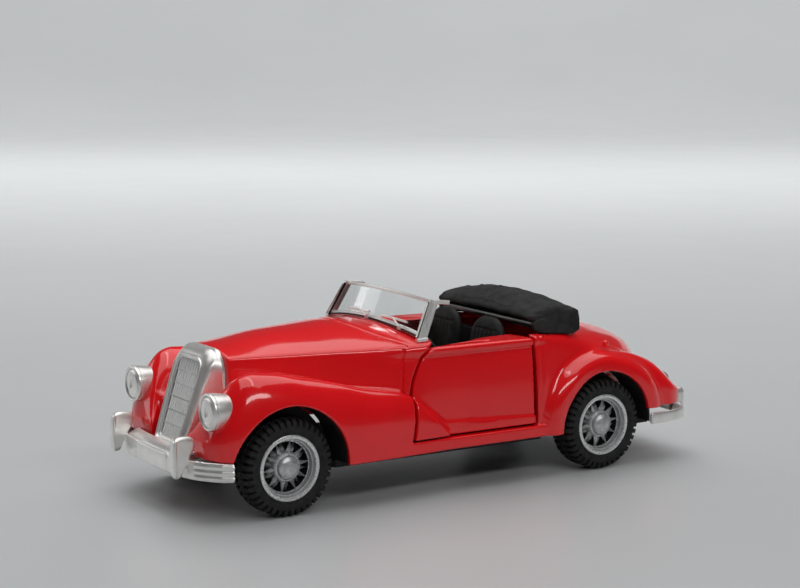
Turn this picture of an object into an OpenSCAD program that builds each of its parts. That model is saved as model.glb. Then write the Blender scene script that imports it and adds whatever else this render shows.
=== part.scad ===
// Diecast collector car: open cabriolet with opening doors and a pull-back motor.
// Front towards -Y, left side towards +X, wheels standing on z = 0.

/* [Wheels] */
// Distance between the front and rear axles
wheelbase = 80; // [79:0.5:81]
// Outer radius of the tyres
tyre_r = 10.1; // [9.8:0.1:10.3]
// Width of each tyre
tyre_w = 7; // [6.4:0.1:7]
// Outer radius of the rims
rim_r = 6.9; // [6.6:0.1:7.2]
// Distance from the middle of the car to the middle of a wheel
wheel_x = 19.4; // [19.2:0.1:19.5]
// Radius of the steel axles
axle_r = 1; // [0.8:0.05:1.1]
// Spokes in the front row of a rim
spokes = 10; // [8:1:12]

/* [Body] */
// Thickness of the casting
wall = 1.3; // [1.1:0.1:1.4]
// Gap around each door
door_gap = 0.4; // [0.35:0.05:0.5]
// Thickness of each door
door_t = 1.8; // [1.5:0.1:1.9]
// Radius of the front wheel arches
front_arch_r = 12.8; // [12.5:0.1:13]
// Radius of the rear wheel arches
rear_arch_r = 12.2; // [12:0.1:12.4]

/* [Hidden] */
$fn = 48;

front_y = -42.5;
rear_y = front_y + wheelbase;
axle_z = tyre_r;
slip = 0.06;
floor_z = 9.5;

// Lines of the body as [position along the car, value]
top_line = [[-51.5, 32.6], [-45, 33.3], [-36, 34.6], [-28, 35.1], [-20, 35.5], [-9, 34.7],
    [18, 32.6], [32, 31.8], [40, 31], [49, 29.2], [55, 27], [59, 24.6], [62, 21], [63.6, 17], [64, 14]];
crease_z = [[-51.5, 31.2], [-20, 31.6], [-9, 32.2], [18.9, 31.3], [30, 30.4], [40, 28.4],
    [49, 25.2], [55, 22.2], [60, 18], [63, 14.6], [64, 13.2]];
crease_x = [[-51.5, 9.2], [-42.5, 11.7], [-35.5, 13.6], [-28, 15.4], [-20, 17.4], [-13, 19],
    [-8, 20.2], [18.9, 20.7], [30, 19.6], [40, 17.8], [49, 15.2], [55, 12.6], [60, 9], [63, 5], [64, 2.5]];
side_x = [[-51.5, 10.4], [-42.5, 13], [-28, 17], [-20, 19.6], [-13, 21.6], [-8, 22.3],
    [18.9, 22.8], [30, 22.2], [40, 20.8], [49, 18], [55, 15.4], [60, 11.8], [63, 7.5], [64, 4.5]];
front_fender_x = [[-58.8, 14.5], [-55, 17], [-50, 18.2], [-42, 18.6], [-30, 19.6], [-13, 21.2], [-4, 21.8]];
front_fender_out = [[-58.8, 17], [-58, 19.4], [-56.5, 21.6], [-54, 23.4], [-50, 24.5], [-42, 24.9],
    [-30, 24.8], [-13, 24.1], [-4, 23.5]];
front_fender_z = [[-58.8, 15.5], [-57.6, 19], [-56.4, 22], [-55, 24.8], [-53.4, 27], [-51.5, 28.7],
    [-49, 29.4], [-44, 29], [-38, 27.7], [-30, 25.9], [-24, 24.2], [-14.5, 22.3], [-11.8, 21], [-8, 17.6], [-4, 13.4]];
rear_fender_x = [[20.4, 20.5], [30, 19.5], [45, 18.5], [55, 15.5], [64, 5]];
rear_fender_out = [[20.4, 22.9], [22, 23.6], [25, 24.3], [30, 24.8], [42, 24.9], [48, 24.3], [53, 23.2],
    [57, 21.6], [60, 19.4], [62, 16.4], [63.2, 12.6], [63.8, 8.5]];
rear_fender_z = [[20.4, 13], [21.7, 19.1], [23.9, 23.2], [26.8, 25.3], [30.2, 26.1], [35.9, 26.6],
    [45.4, 25.4], [52.2, 23.5], [55.1, 22.3], [57.6, 20.4], [60.5, 17.2], [62.4, 14.6], [63.8, 13.2]];
fender_spring_z = 15.5;
front_join_y = -42;
rear_join_y = 40.5;

// Door outline: front edge as [height, position], straight rear edge
door_front = [[12.5, -13.6], [15, -13.2], [19, -12.8], [23, -12.3], [27, -10.8], [30.3, -8.6], [31.3, -7.2]];
door_rear_y = 18.9;
door_bottom_z = 12.5;
door_top_z = 31.3;
hinge_x = 19.2;
hinge_y = 21.2;
hinge_pin_r = 0.5;

// Places of the base screws
screw_y = [-33, 51];

// Screen corners
screen_bottom = [19.2, -8.4, 33.25];
screen_top = [17.5, -3, 40.6];
screen_bow = 1.5;

// Bumper arms and the base posts behind them, from inner to outer face
arm_x = [9.2, 10.8];

// Plates of the base that close the body beside the wheels, from inner to outer face
well_x = [14.7, 15.5];

// Rake of the grille as [backwards, upwards]
grille_lean = [6.9, 20.8];

// Motor: half-width of its case, gear teeth and module, and how far the drum lies ahead of the axle
motor_half_w = 7.4;
pinion_teeth = 12;
drum_teeth = 32;
gear_m = 0.4;
drum_ahead = 6.9;
gear_centre_d = gear_m * (pinion_teeth + drum_teeth) / 2;
drum_y = rear_y - drum_ahead;
drum_z = axle_z + sqrt(pow(gear_centre_d, 2) - pow(drum_ahead, 2));

// ---- Helpers ----

// Vector area of a ring of points, doubled
function ring_area(r, i = 1) = i > len(r) - 2 ? [0, 0, 0] : cross(r[i] - r[0], r[i + 1] - r[0]) + ring_area(r, i + 1);

// Point moved to the nearest 0.001 mm, so that walls in one plane meet exactly
function to_micron(p) = [for (c = p) round(c * 1000) / 1000];

// Solid through a list of rings, each with the same number of points
module loft(rings) {
    n = len(rings[0]);
    m = len(rings);
    turns_left = ring_area(rings[1]) * (rings[m - 1][0] - rings[0][0]) > 0;
    sides = [for (j = [0:m - 2], i = [0:n - 1]) let (a = j * n + i, b = j * n + (i + 1) % n)
        each [[a, b, b + n], [a, b + n, a + n]]];
    caps = [[for (i = [n - 1:-1:0]) i], [for (i = [0:n - 1]) (m - 1) * n + i]];
    faces = [for (f = concat(sides, caps)) turns_left ? [for (i = [len(f) - 1:-1:0]) f[i]] : f];
    polyhedron(points = [for (r = rings) for (p = r) to_micron(p)], faces = faces, convexity = 8);
}

module both_sides() {
    children();
    mirror([1, 0, 0]) children();
}

module along_x(x0, x1) {
    translate([x0, 0, 0]) rotate([90, 0, 90]) linear_extrude(x1 - x0) children();
}

module rod_x(x0, x1, y, z, r) {
    translate([x0, y, z]) rotate([0, 90, 0]) cylinder(h = x1 - x0, r = r);
}

module box(x0, x1, y0, y1, z0, z1) {
    translate([x0, y0, z0]) cube([x1 - x0, y1 - y0, z1 - z0]);
}

function clamp(v, lo, hi) = min(max(v, lo), hi);

// ---- Body surfaces ----

// Half-width of the middle body at a place along the car and a height
function core_side(y, z) = let (
    zk = lookup(y, crease_z),
    xc = lookup(y, crease_x),
    u = clamp((zk - z) / (zk - 13), 0, 1)
) xc + (lookup(y, side_x) - xc) * pow(sin(90 * u), 0.8);

function fender_side(y, z, x_line, out_line, z_line) = let (
    top = lookup(y, z_line),
    spring = min(fender_spring_z, top - 1.5),
    xf = lookup(y, x_line),
    reach = lookup(y, out_line) - xf
) z >= top ? 0 : z <= spring ? xf + reach : xf + reach * sqrt(1 - pow((z - spring) / (top - spring), 2));

// Outer face of the body side, front fender and sill band together
function outer_side(y, z) = max(
    core_side(y, z),
    y < -4 ? fender_side(y, z, front_fender_x, front_fender_out, front_fender_z) : 0,
    z < 14.6 ? 23.5 : 0
);

function core_floor(y) = y < -52 || y > 49 ? 12.6 : floor_z;

function core_ring(y, t) = let (
    zc = lookup(y, top_line) - t,
    zk = lookup(y, crease_z) - t,
    xc = lookup(y, crease_x) - t,
    zb = core_floor(y) - 4 * t,
    right = concat(
        [for (i = [1:5]) [xc * i / 5, zc - (zc - zk) * pow(i / 5, 2)]],
        [for (j = [1:6]) let (z = zk - (zk - zb) * j / 6) [core_side(y, z + t) - t, z]]
    ),
    last = len(right) - 1
) concat(
    [[0, y, zc]],
    [for (p = right) [p[0], y, p[1]]],
    [for (i = [last:-1:0]) [-right[i][0], y, right[i][1]]]
);

function fender_ring(y, t, lines, zb) = let (
    top = lookup(y, lines[2]) - t,
    spring = min(fender_spring_z, top - 1.5),
    xf = lookup(y, lines[0]),
    reach = lookup(y, lines[1]) - xf - t
) concat(
    [[xf + reach, y, zb - 4 * t]],
    [for (a = [0:18:180]) [xf + (a < 90 ? reach : 7 - t) * cos(a), y, spring + (top - spring) * sin(a)]],
    [[xf - 7 + t, y, zb - 4 * t]]
);

front_lines = [front_fender_x, front_fender_out, front_fender_z];
rear_lines = [rear_fender_x, rear_fender_out, rear_fender_z];

// Every place in a list, or every second one and the last where the form is pulled in; a join stays put
function rings_at(places, t) = let (
    last = len(places) - 1,
    joined = [for (y = places) y == front_join_y || y == rear_join_y]
) t == 0 ? places : [for (i = [0:last]) if (i == last || (i % 2 == 0 && i < last - 1))
    places[i] + (joined[i] ? 0 : i == 0 ? t : i == last ? -t : 0)];

core_y = [-51.5, -46, -40, -34, -28, -24, -20, -16, -12, -8, 18.9, 24.6, 30.6, 36.6, 42.6, 48.6, 52, 56, 59, 61.2,
    63, 64];
front_y_a = [-58.8, -58, -57.3, -56.2, -55, -53.4, -51.3, -49, front_join_y];
front_y_b = [front_join_y, -36, -30, -24.4, -18, -13.4, -10.4, -7.4, -4];
rear_y_a = [20.4, 21.7, 22.8, 25.2, 28, 33.5, rear_join_y];
rear_y_b = [rear_join_y, 45.4, 50, 53, 55.5, 58.4, 61, 62.6, 63.7];

// Whole outer form, pulled in by t
module body_form(t) {
    loft([for (y = rings_at(core_y, t)) core_ring(y, t)]);
    both_sides() {
        loft([for (y = rings_at(front_y_a, t)) fender_ring(y, t, front_lines, 12.6)]);
        loft([for (y = rings_at(front_y_b, t)) fender_ring(y, t, front_lines, floor_z)]);
        loft([for (y = rings_at(rear_y_a, t)) fender_ring(y, t, rear_lines, floor_z)]);
        loft([for (y = rings_at(rear_y_b, t)) fender_ring(y, t, rear_lines, 12.6)]);
        box(18 + t, 23.5 - t, -30, 24, floor_z - 4 * t, 12.1 - t);
    }
    box(-14.6 + t, 14.6 - t, -55.2 + t, -50, 12.6 - 4 * t, 21 - t);
}

// Space cut out for one door, with the gap g around it
module door_opening(g) {
    for (i = [0:len(door_front) - 2]) hull() {
        box(16.8, 27, door_front[i][1] - g, door_rear_y + g, door_front[i][0] - g, door_front[i][0] + 0.01);
        box(16.8, 27, door_front[i + 1][1] - g, door_rear_y + g, door_front[i + 1][0], door_front[i + 1][0] + 0.01);
    }
    box(16.8, 27, door_front[6][1] - g, door_rear_y + g, door_top_z - 0.1, 40);
}

module cockpit_opening() {
    linear_extrude(60) hull() {
        both_sides() translate([15.6, -4.6]) circle(r = 2);
        both_sides() translate([14.6, 24]) circle(r = 4);
        translate([0, 1]) scale([1, 0.6]) circle(r = 12.5);
    }
}

module wheel_arches() {
    both_sides() {
        rod_x(16.4, 30, front_y, axle_z, front_arch_r);
        rod_x(16.4, 30, rear_y, axle_z, rear_arch_r);
    }
}

module body_shell() {
    color("red") difference() {
        union() {
            difference() {
                body_form(0);
                body_form(wall);
            }
            intersection() {
                for (y = screw_y) both_sides() translate([8, y, 11.2]) cylinder(h = 30, r = 2);
                body_form(wall / 2);
            }
        }
        translate([0, 0, 24]) cockpit_opening();
        both_sides() door_opening(door_gap);
        wheel_arches();
        grille_blank(0.1);
        both_sides() headlamp_form(0.1);
        both_sides() tail_lamp_form(0.1);
        for (y = screw_y) both_sides() translate([8, y, 8]) cylinder(h = 10, r = 0.8);
        both_sides() {
            box(9, 17, front_y - 3.2, front_y + 3.2, 0, 13.2);
            box(arm_x[0] - 0.3, arm_x[1] + 0.3, -57, -45, 8, 12.3);
        }
        box(-30, 30, -70, 70, -1, floor_z);
    }
}

// ---- Doors ----

function front_edge(z) = lookup(z, door_front);

function door_ring(z) = let (
    y0 = front_edge(z),
    xr = outer_side(door_rear_y, z),
    swing = sqrt(pow(xr - hinge_x, 2) + pow(hinge_y - door_rear_y - door_gap, 2)) + 0.35,
    xi = xr - door_t,
    y1 = min(door_rear_y, hinge_y - sqrt(max(0.01, pow(swing, 2) - pow(xi - hinge_x, 2)))),
    steps = 14
) concat(
    [for (i = [0:steps]) let (y = y0 + (door_rear_y - y0) * i / steps) [outer_side(y, z), y, z]],
    [for (i = [steps:-1:0]) let (y = y0 + (y1 - y0) * i / steps) [outer_side(y, z) - door_t, y, z]]
);

module door() {
    color("red") {
        loft([for (z = [door_bottom_z, 14.55, 14.65, 16, 18, 20, 22, 24, 26, 28, 30, door_top_z]) door_ring(z)]);
        goose_neck();
    }
}

// Curved arm from the door skin to its pivot barrel, with a round pin at each end
module goose_neck() {
    translate([hinge_x, hinge_y, 14.1]) cylinder(h = 9.8, r = 1);
    translate([hinge_x, hinge_y, 12.6]) cylinder(h = 12.8, r = hinge_pin_r);
    translate([0, 0, 17]) linear_extrude(4) polygon([
        [hinge_x - 0.9, hinge_y], [hinge_x + 0.3, hinge_y - 0.4], [18.4, 17.2], [21.5, 16.6],
        [21.5, 14.6], [17.2, 15.2], [16.6, 16.2]]);
}

// ---- Base, interior ----

module bearing(y) {
    for (x = [-13.6, 11.6]) difference() {
        box(x, x + 2, y - 2.6, y + 2.6, 8, 12.8);
        rod_x(x - 1, x + 3, y, axle_z, axle_r + slip);
    }
}

// Upright plate beside a wheel, with a hole for the axle
module well_plate(y, r) {
    difference() {
        intersection() {
            rod_x(well_x[0], well_x[1], y, axle_z, r);
            box(well_x[0] - 1, well_x[1] + 1, y - 20, y + 20, 7.6, 30);
        }
        rod_x(well_x[0] - 1, well_x[1] + 1, y, axle_z, axle_r + 0.3);
    }
}

module chassis_base() {
    side = well_x[1];
    color("dimgray") {
        difference() {
            union() {
                translate([0, 0, 7.4]) linear_extrude(1.6) polygon([
                    [-side, -50], [side, -50], [side, -30], [17, -28.6], [17, 24], [side, 25.6],
                    [side, 56], [-side, 56], [-side, 25.6], [-17, 24], [-17, -28.6], [-side, -30]]);
                box(-9, 9, -24, 8, 6.6, 7.5);
            }
            box(-motor_half_w - 0.1, motor_half_w + 0.1, 22.9, 42.1, 5, 10);
            for (y = screw_y) both_sides() translate([8, y, 5]) cylinder(h = 6, r = 0.75);
        }
        bearing(front_y);
        bearing(rear_y);
        for (y = screw_y) both_sides() translate([8, y, 9]) difference() {
            cylinder(h = 2.1, r = 1.8);
            translate([0, 0, -1]) cylinder(h = 4, r = 0.75);
        }
        both_sides() {
            box(arm_x[0], arm_x[1], -49.9, -46, 8.9, 12);
            box(arm_x[0], arm_x[1], 53.2, 55.9, 8.9, 12);
            well_plate(front_y, 12.3);
            well_plate(rear_y, 11.5);
        }
        translate([-10.5, -14, 7]) rotate([-90, 0, 0]) cylinder(h = 36, r = 0.7);
    }
}

module interior_tub() {
    color("black") {
        difference() {
            union() {
                box(-17, 17, -18, 13, 13, 27);
                box(-15.6, 15.6, 12.9, 22.6, 13, 27);
            }
            box(-16, 16, -17, 12.2, 14, 30);
            box(-14.6, 14.6, 12, 21.6, 14, 30);
        }
        both_sides() for (z = [12.7, 24.1]) difference() {
            box(15, 19.98, 20, 22.4, z, z + 1.3);
            translate([hinge_x, hinge_y, z - 1]) cylinder(h = 4, r = hinge_pin_r + slip);
        }
        box(-14.4, 14.4, 17.8, 21.7, 14, 25);
        box(-14.4, 14.4, 20.4, 22.6, 24.9, 29.5);
        both_sides() box(3, 14, 2.6, 11.6, 14, 17.4);
    }
}

module seat() {
    color("dimgray") union() {
        translate([8.6, 7.2, 17.5]) linear_extrude(4.4) offset(r = 1.6) square([9.8, 7], center = true);
        translate([2.2, 0, 0]) along_x(0, 12.1) offset(r = 1.2) polygon([
            [12.6, 18.8], [14.6, 18.8], [17.3, 32.6], [15.2, 33.4], [13, 32.6]]);
    }
}

module dashboard() {
    color("black") along_x(-16.4, 16.4) polygon([
        [-12.4, 27.2], [-5.2, 27.2], [-4.8, 30.2], [-7, 30.8], [-12.4, 30.6]]);
}

module steering_wheel() {
    color("dimgray") translate([8.6, -0.6, 28]) rotate([-62, 0, 0]) {
        rotate_extrude() translate([4.6, 0]) circle(r = 0.45);
        cylinder(h = 0.9, r = 1, center = true);
        for (a = [90, 210, 330]) rotate([0, 0, a]) translate([0.5, -0.3, -0.3]) cube([4, 0.6, 0.6]);
        translate([0, 0, -4.4]) cylinder(h = 4.4, r = 0.6);
    }
}

// ---- Windscreen ----

// Point of the screen: u from -1 to 1 across, v from 0 to 1 upwards
function screen_pt(u, v) = let (
    across = screen_bottom[0] + (screen_top[0] - screen_bottom[0]) * v,
    bow = 1 - u * u,
    z0 = screen_bottom[2] + 2.25 * bow,
    z1 = screen_top[2] + 0.8 * bow
) [u * across, screen_bottom[1] + (screen_top[1] - screen_bottom[1]) * v - screen_bow * bow, z0 + (z1 - z0) * v];

module bead(p, w, d, h) {
    translate(p) rotate([-35, 0, 0]) cube([w, d, h], center = true);
}

module windscreen_frame() {
    color("silver") {
        for (i = [0:7]) hull() {
            bead(screen_pt(-1 + i / 4, 0), 0.5, 0.9, 0.9);
            bead(screen_pt(-0.75 + i / 4, 0), 0.5, 0.9, 0.9);
        }
        for (i = [0:7]) hull() {
            bead(screen_pt(-1 + i / 4, 1), 0.4, 0.5, 0.5);
            bead(screen_pt(-0.75 + i / 4, 1), 0.4, 0.5, 0.5);
        }
        for (s = [-1, 1]) {
            hull() {
                bead(screen_pt(s, 0), 1.1, 1.3, 1);
                bead(screen_pt(s, 1), 0.9, 1.2, 0.8);
            }
            translate(screen_pt(s, 1) + [0, 1.4, -0.1]) cube([1, 2.8, 0.6], center = true);
        }
    }
}

module windscreen_glass() {
    color("lightcyan", 0.35) loft([for (i = [0:16]) let (
        u = -0.955 + 1.91 * i / 16,
        a = screen_pt(u, 0.07),
        b = screen_pt(u, 0.94),
        d = [0, 0.2, -0.1]
    ) [a - d, b - d, b + d, a + d]]);
}

module wiper(x0, x1) {
    a = screen_pt(x0 / 19, 0.1) + [0, -1.3, 0.5];
    b = screen_pt(x1 / 19, 0.28) + [0, -1.1, 0.4];
    hull() {
        translate(a) cube([0.5, 0.4, 0.4], center = true);
        translate(b) cube([0.5, 0.4, 0.4], center = true);
    }
    translate(a + [0, 0, -0.3]) cube([0.9, 0.7, 1], center = true);
}

module wipers() {
    color("silver") {
        wiper(-4, -13);
        wiper(10, 1);
    }
}

// ---- Bright work ----

module grille_outline(half_top, half_bottom, z0, z1, r) {
    hull() {
        for (s = [-1, 1]) {
            translate([s * (half_top - r), z1 - r]) circle(r = r);
            translate([s * (half_bottom - 1), z0 + 1]) circle(r = 1);
        }
        translate([0, z1 + 0.4 - 4]) circle(r = 4);
    }
}

grille_rake = atan(grille_lean[0] / grille_lean[1]);

// Places its children upright in the raked plane of the grille face
module at_grille() {
    translate([0, -59.4, 12.2]) rotate([90 - grille_rake, 0, 0]) children();
}

module grille_blank(g) {
    hull() {
        at_grille() translate([0, 0, -0.5]) linear_extrude(0.5) offset(delta = g)
            grille_outline(7.6, 6.2, 0, 21.9, 3.6);
        translate([0, -50.6 + g, 0]) rotate([90, 0, 0]) linear_extrude(0.5) offset(delta = g)
            grille_outline(8.9, 7, 13.2, 33.9, 4.2);
    }
}

module grille_shell() {
    color("silver") difference() {
        grille_blank(0);
        at_grille() translate([0, 0, -1.2]) linear_extrude(3) grille_outline(5.6, 4.6, 1.2, 20.2, 2);
    }
}

module grille_insert() {
    color("gainsboro") at_grille() translate([0, 0, -1.15]) intersection() {
        linear_extrude(2) grille_outline(5.5, 4.5, 1.3, 20.1, 1.9);
        union() {
            translate([-6, 0, 0]) cube([12, 21, 0.45]);
            for (i = [0:11]) translate([-5.2 + i * 0.9, 0, 0.4]) cube([0.5, 21, 0.35]);
            for (i = [0:6]) translate([-6, 1 + i * 3.15, 0.4]) cube([12, 0.4, 0.5]);
        }
    }
}

module headlamp_form(g) {
    translate([17.6, -54.6 + g, 22.4]) rotate([90, 0, 0]) cylinder(h = 4, r = 3.85 + g);
}

module headlamp() {
    color("silver") translate([17.6, -54.6, 22.4]) rotate([90, 0, 0]) rotate_extrude() polygon([
        [0, 0], [3.8, 0], [3.85, 2.6], [3.7, 3.9], [3.5, 4.1], [3.1, 3.9], [2.9, 3.7], [2.2, 4.1],
        [1.3, 4.3], [1, 4.15], [0, 4.05]]);
}

module overrider(x, y, face) {
    translate([x, y, 0]) rotate([0, 0, face]) along_x(-0.95, 0.95) polygon([
        [-2.6, 9.6], [-2, 9], [0.2, 9], [1.6, 12.5], [1.5, 16.6], [0.6, 18], [-1.2, 18.2], [-2.3, 16.8]]);
}

// Bright strip that follows a list of plan points, mirrored to the other side
module blade(pts, t, z0, h) {
    last = len(pts) - 1;
    inner = [for (i = [0:last]) let (
        d = pts[min(i + 1, last)] - pts[max(i - 1, 0)],
        n = [-d[1], d[0]] / norm(d)
    ) pts[i] + n * t];
    both_sides() translate([0, 0, z0]) linear_extrude(h) polygon(
        concat(pts, [for (i = [last:-1:0]) [max(0, inner[i][0]), inner[i][1]]]));
}

module front_bumper() {
    color("silver") {
        blade([[0, -62.7], [6, -62.6], [12, -62.2], [16, -61.2], [19, -59.5], [21.4, -57.3], [22.8, -54.9]],
            1.1, 8.8, 3.5);
        both_sides() {
            overrider(14.5, -62.4, 0);
            box(arm_x[0], arm_x[1], -61.7, -50.1, 10, 11.8);
        }
    }
}

module rear_bumper() {
    color("silver") {
        mirror([0, 1, 0]) blade([[0, -64.9], [8, -64.8], [14, -64], [18.5, -62.2], [22, -58.5], [23.7, -54.5],
            [24.1, -50.6]], 1, 8.9, 2.7);
        both_sides() {
            translate([16.5, 62.95, 0]) scale([1, 0.7, 0.86]) rotate([0, 0, 170]) along_x(-0.9, 0.9) polygon([
                [-2.4, 9.8], [2, 10.4], [2.2, 13.2], [-0.3, 17.4], [-1.6, 17.6], [-2.2, 13]]);
            box(arm_x[0], arm_x[1], 56.1, 63.8, 9.6, 11.2);
        }
    }
}

module tail_lamp_form(g) {
    translate([15.78, 57.54, 15.73]) rotate([-50, 0, -14]) cylinder(h = g > 0 ? 5 : 3, r = 1.3 + g);
}

module tail_lamp() {
    color("darkred") tail_lamp_form(0);
}

// ---- Soft top ----

// Section of the folded top at u, from -1 to 1 across the car, as [along the car, height]
function top_section(u) = let (
    bow = 1 - u * u,
    end = pow(abs(u), 5)
) [
    [24.2 - 3 * end, 31.65 + 1.65 * bow],
    [20.3 - 0.3 * end, 34.3 - 0.2 * end],
    [20.5, 36 - 0.3 * end],
    [24.5, 36.2 + 2.3 * bow],
    [28, 36.4 + 2.5 * bow],
    [31.3, 36.3 + 1.5 * bow],
    [32.8, 35.4 + 0.2 * bow],
    [33, 30.5 + 1.75 * bow],
    [28.6, 31 + 1.5 * bow]
];

module soft_top() {
    color("black") loft([for (i = [-8:8]) [for (p = top_section(i / 8)) [18.9 * i / 8, p[0], p[1]]]]);
}

// ---- Running gear ----

module axle(y) {
    color("silver") rod_x(-21.2, 21.2, y, axle_z, axle_r);
}

module rim() {
    color("silver") rotate([0, 90, 0]) {
        rotate_extrude() polygon([
            [rim_r - 0.5, -2.8], [rim_r - 0.1, -2.8], [rim_r - 0.3, 1.6], [rim_r, 2.2], [rim_r, 3],
            [rim_r - 0.5, 3.25], [rim_r - 1.1, 3], [rim_r - 1.1, 1.6], [rim_r - 0.8, 1]]);
        difference() {
            rotate_extrude() polygon([[0, -1.5], [6.5, -1.5], [6.5, -0.7], [3.2, 0.2], [3, 2.6], [2.5, 3],
                [2.3, 3.4], [1.3, 3.8], [0, 3.9]]);
            translate([0, 0, -5]) cylinder(h = 6.8, r = axle_r);
        }
        for (i = [0:spokes - 1]) rotate([0, 0, i * 360 / spokes]) translate([2.5, -0.5, -0.8])
            cube([rim_r - 3.2, 1, 2.6]);
    }
}

module tyre() {
    color("black") rotate([0, 90, 0]) difference() {
        rotate_extrude() polygon([[rim_r, -tyre_w / 2 + 0.6], [rim_r + 0.8, -tyre_w / 2], [tyre_r - 1, -tyre_w / 2],
            [tyre_r, -tyre_w / 2 + 0.9], [tyre_r, tyre_w / 2 - 0.9], [tyre_r - 1, tyre_w / 2],
            [rim_r + 0.8, tyre_w / 2], [rim_r, tyre_w / 2 - 0.3]]);
        for (i = [0:11]) rotate([0, 0, i * 30]) both_shoulders() translate([tyre_r - 0.6, -0.4, 2])
            cube([2, 0.8, 3]);
    }
}

module both_shoulders() {
    children();
    mirror([0, 0, 1]) children();
}

module wheel_at(s, y) {
    translate([s * wheel_x, y, axle_z]) mirror([s < 0 ? 1 : 0, 0, 0]) children();
}

// ---- Pull-back motor ----

function inv_deg(a) = tan(a) * 180 / PI - a;

// Involute spur gear, tooth 0 centred on +X
module spur_gear(teeth, addendum, thinning) {
    r = gear_m * teeth / 2;
    rb = r * cos(20);
    tip = r + addendum * gear_m;
    root = r - 1.25 * gear_m;
    half = 90 / teeth - thinning / r * 180 / PI + inv_deg(20);
    flank = [for (i = [0:4]) let (q = max(rb, root) + (tip - max(rb, root)) * i / 4)
        [q, half - inv_deg(acos(min(1, rb / q)))]];
    polygon([for (k = [0:teeth - 1]) each let (c = k * 360 / teeth) concat(
        [root * [cos(c - half), sin(c - half)]],
        [for (p = flank) p[0] * [cos(c - p[1]), sin(c - p[1])]],
        [for (i = [4:-1:0]) flank[i][0] * [cos(c + flank[i][1]), sin(c + flank[i][1])]],
        [root * [cos(c + half), sin(c + half)]]
    )]);
}

mesh_angle = atan2(drum_z - axle_z, drum_y - rear_y);

module axle_pinion() {
    color("goldenrod") translate([0, rear_y, axle_z]) rotate([mesh_angle, 0, 0]) difference() {
        along_x(-1.6, 1.6) spur_gear(pinion_teeth, 1, 0.06);
        rod_x(-3, 3, 0, 0, axle_r);
    }
}

module spring_drum() {
    color("ivory") translate([0, drum_y, drum_z]) {
        rotate([mesh_angle + 180 + 180 / drum_teeth, 0, 0]) difference() {
            along_x(-1.3, 1.3) spur_gear(drum_teeth, 0.8, 0.06);
            rod_x(-3, 3, 0, 0, 1 + slip);
        }
        difference() {
            rod_x(1.2, 5.4, 0, 0, 5.2);
            rod_x(1.9, 6, 0, 0, 4.6);
            rod_x(-3, 3, 0, 0, 1 + slip);
        }
    }
}

module spring_arbor() {
    color("silver") rod_x(-motor_half_w + 0.7, motor_half_w - 0.7, drum_y, drum_z, 1);
}

module mainspring() {
    turns = 3;
    steps = turns * 16;
    spiral = [for (i = [0:steps]) let (r = 1.25 + 2.9 * i / steps, a = i * 360 / 16) r * [cos(a), sin(a)]];
    outer = [for (i = [steps:-1:0]) let (r = 1.6 + 2.9 * i / steps, a = i * 360 / 16) r * [cos(a), sin(a)]];
    color("steelblue") translate([0, drum_y, drum_z]) along_x(2.2, 5) polygon(concat(spiral, outer));
}

module motor_case() {
    difference() {
        box(-motor_half_w, motor_half_w, 23, 42, 6.4, 23.2);
        box(-motor_half_w + 0.8, motor_half_w - 0.8, 23.8, 41.2, 7, 22.4);
        rod_x(-10, 10, rear_y, axle_z, axle_r + slip);
        rod_x(-motor_half_w + 0.7, motor_half_w - 0.7, drum_y, drum_z, 1);
    }
}

module motor_case_lower() {
    color("gray") intersection() {
        motor_case();
        box(-10, 10, 20, 50, 5, axle_z);
    }
}

module motor_case_upper() {
    color("dimgray") intersection() {
        motor_case();
        box(-10, 10, 20, 50, axle_z, 25);
    }
}

module base_screws() {
    color("silver") for (y = screw_y) both_sides() translate([8, y, 6.6]) {
        cylinder(h = 0.8, r = 1.5);
        cylinder(h = 7, r = 0.7);
    }
}

body_shell();
door();  // door_left
mirror([1, 0, 0]) door();  // door_right
chassis_base();
interior_tub();
seat();  // seat_left
mirror([1, 0, 0]) seat();  // seat_right
dashboard();
steering_wheel();
windscreen_frame();
windscreen_glass();
wipers();
grille_shell();
grille_insert();
headlamp();  // headlamp_left
mirror([1, 0, 0]) headlamp();  // headlamp_right
front_bumper();
rear_bumper();
tail_lamp();  // tail_lamp_left
mirror([1, 0, 0]) tail_lamp();  // tail_lamp_right
soft_top();
base_screws();
axle(front_y);  // front_axle
axle(rear_y);  // rear_axle
wheel_at(1, front_y) rim();  // rim_front_left
wheel_at(-1, front_y) rim();  // rim_front_right
wheel_at(1, rear_y) rim();  // rim_rear_left
wheel_at(-1, rear_y) rim();  // rim_rear_right
wheel_at(1, front_y) tyre();  // tyre_front_left
wheel_at(-1, front_y) tyre();  // tyre_front_right
wheel_at(1, rear_y) tyre();  // tyre_rear_left
wheel_at(-1, rear_y) tyre();  // tyre_rear_right
motor_case_lower();
motor_case_upper();
axle_pinion();
spring_drum();
spring_arbor();
mainspring();
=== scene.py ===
"""Die-cast toy cabriolet: the visual model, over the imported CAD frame.

Lengths are in millimetres until a mesh is made. The stage, the lights and the camera are in metres.
"""
from math import atan, copysign, cos, exp, pi, radians, sin, sqrt
import bmesh
import bpy
import numpy as np
import openvdb
from mathutils import Matrix, Vector


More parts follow.
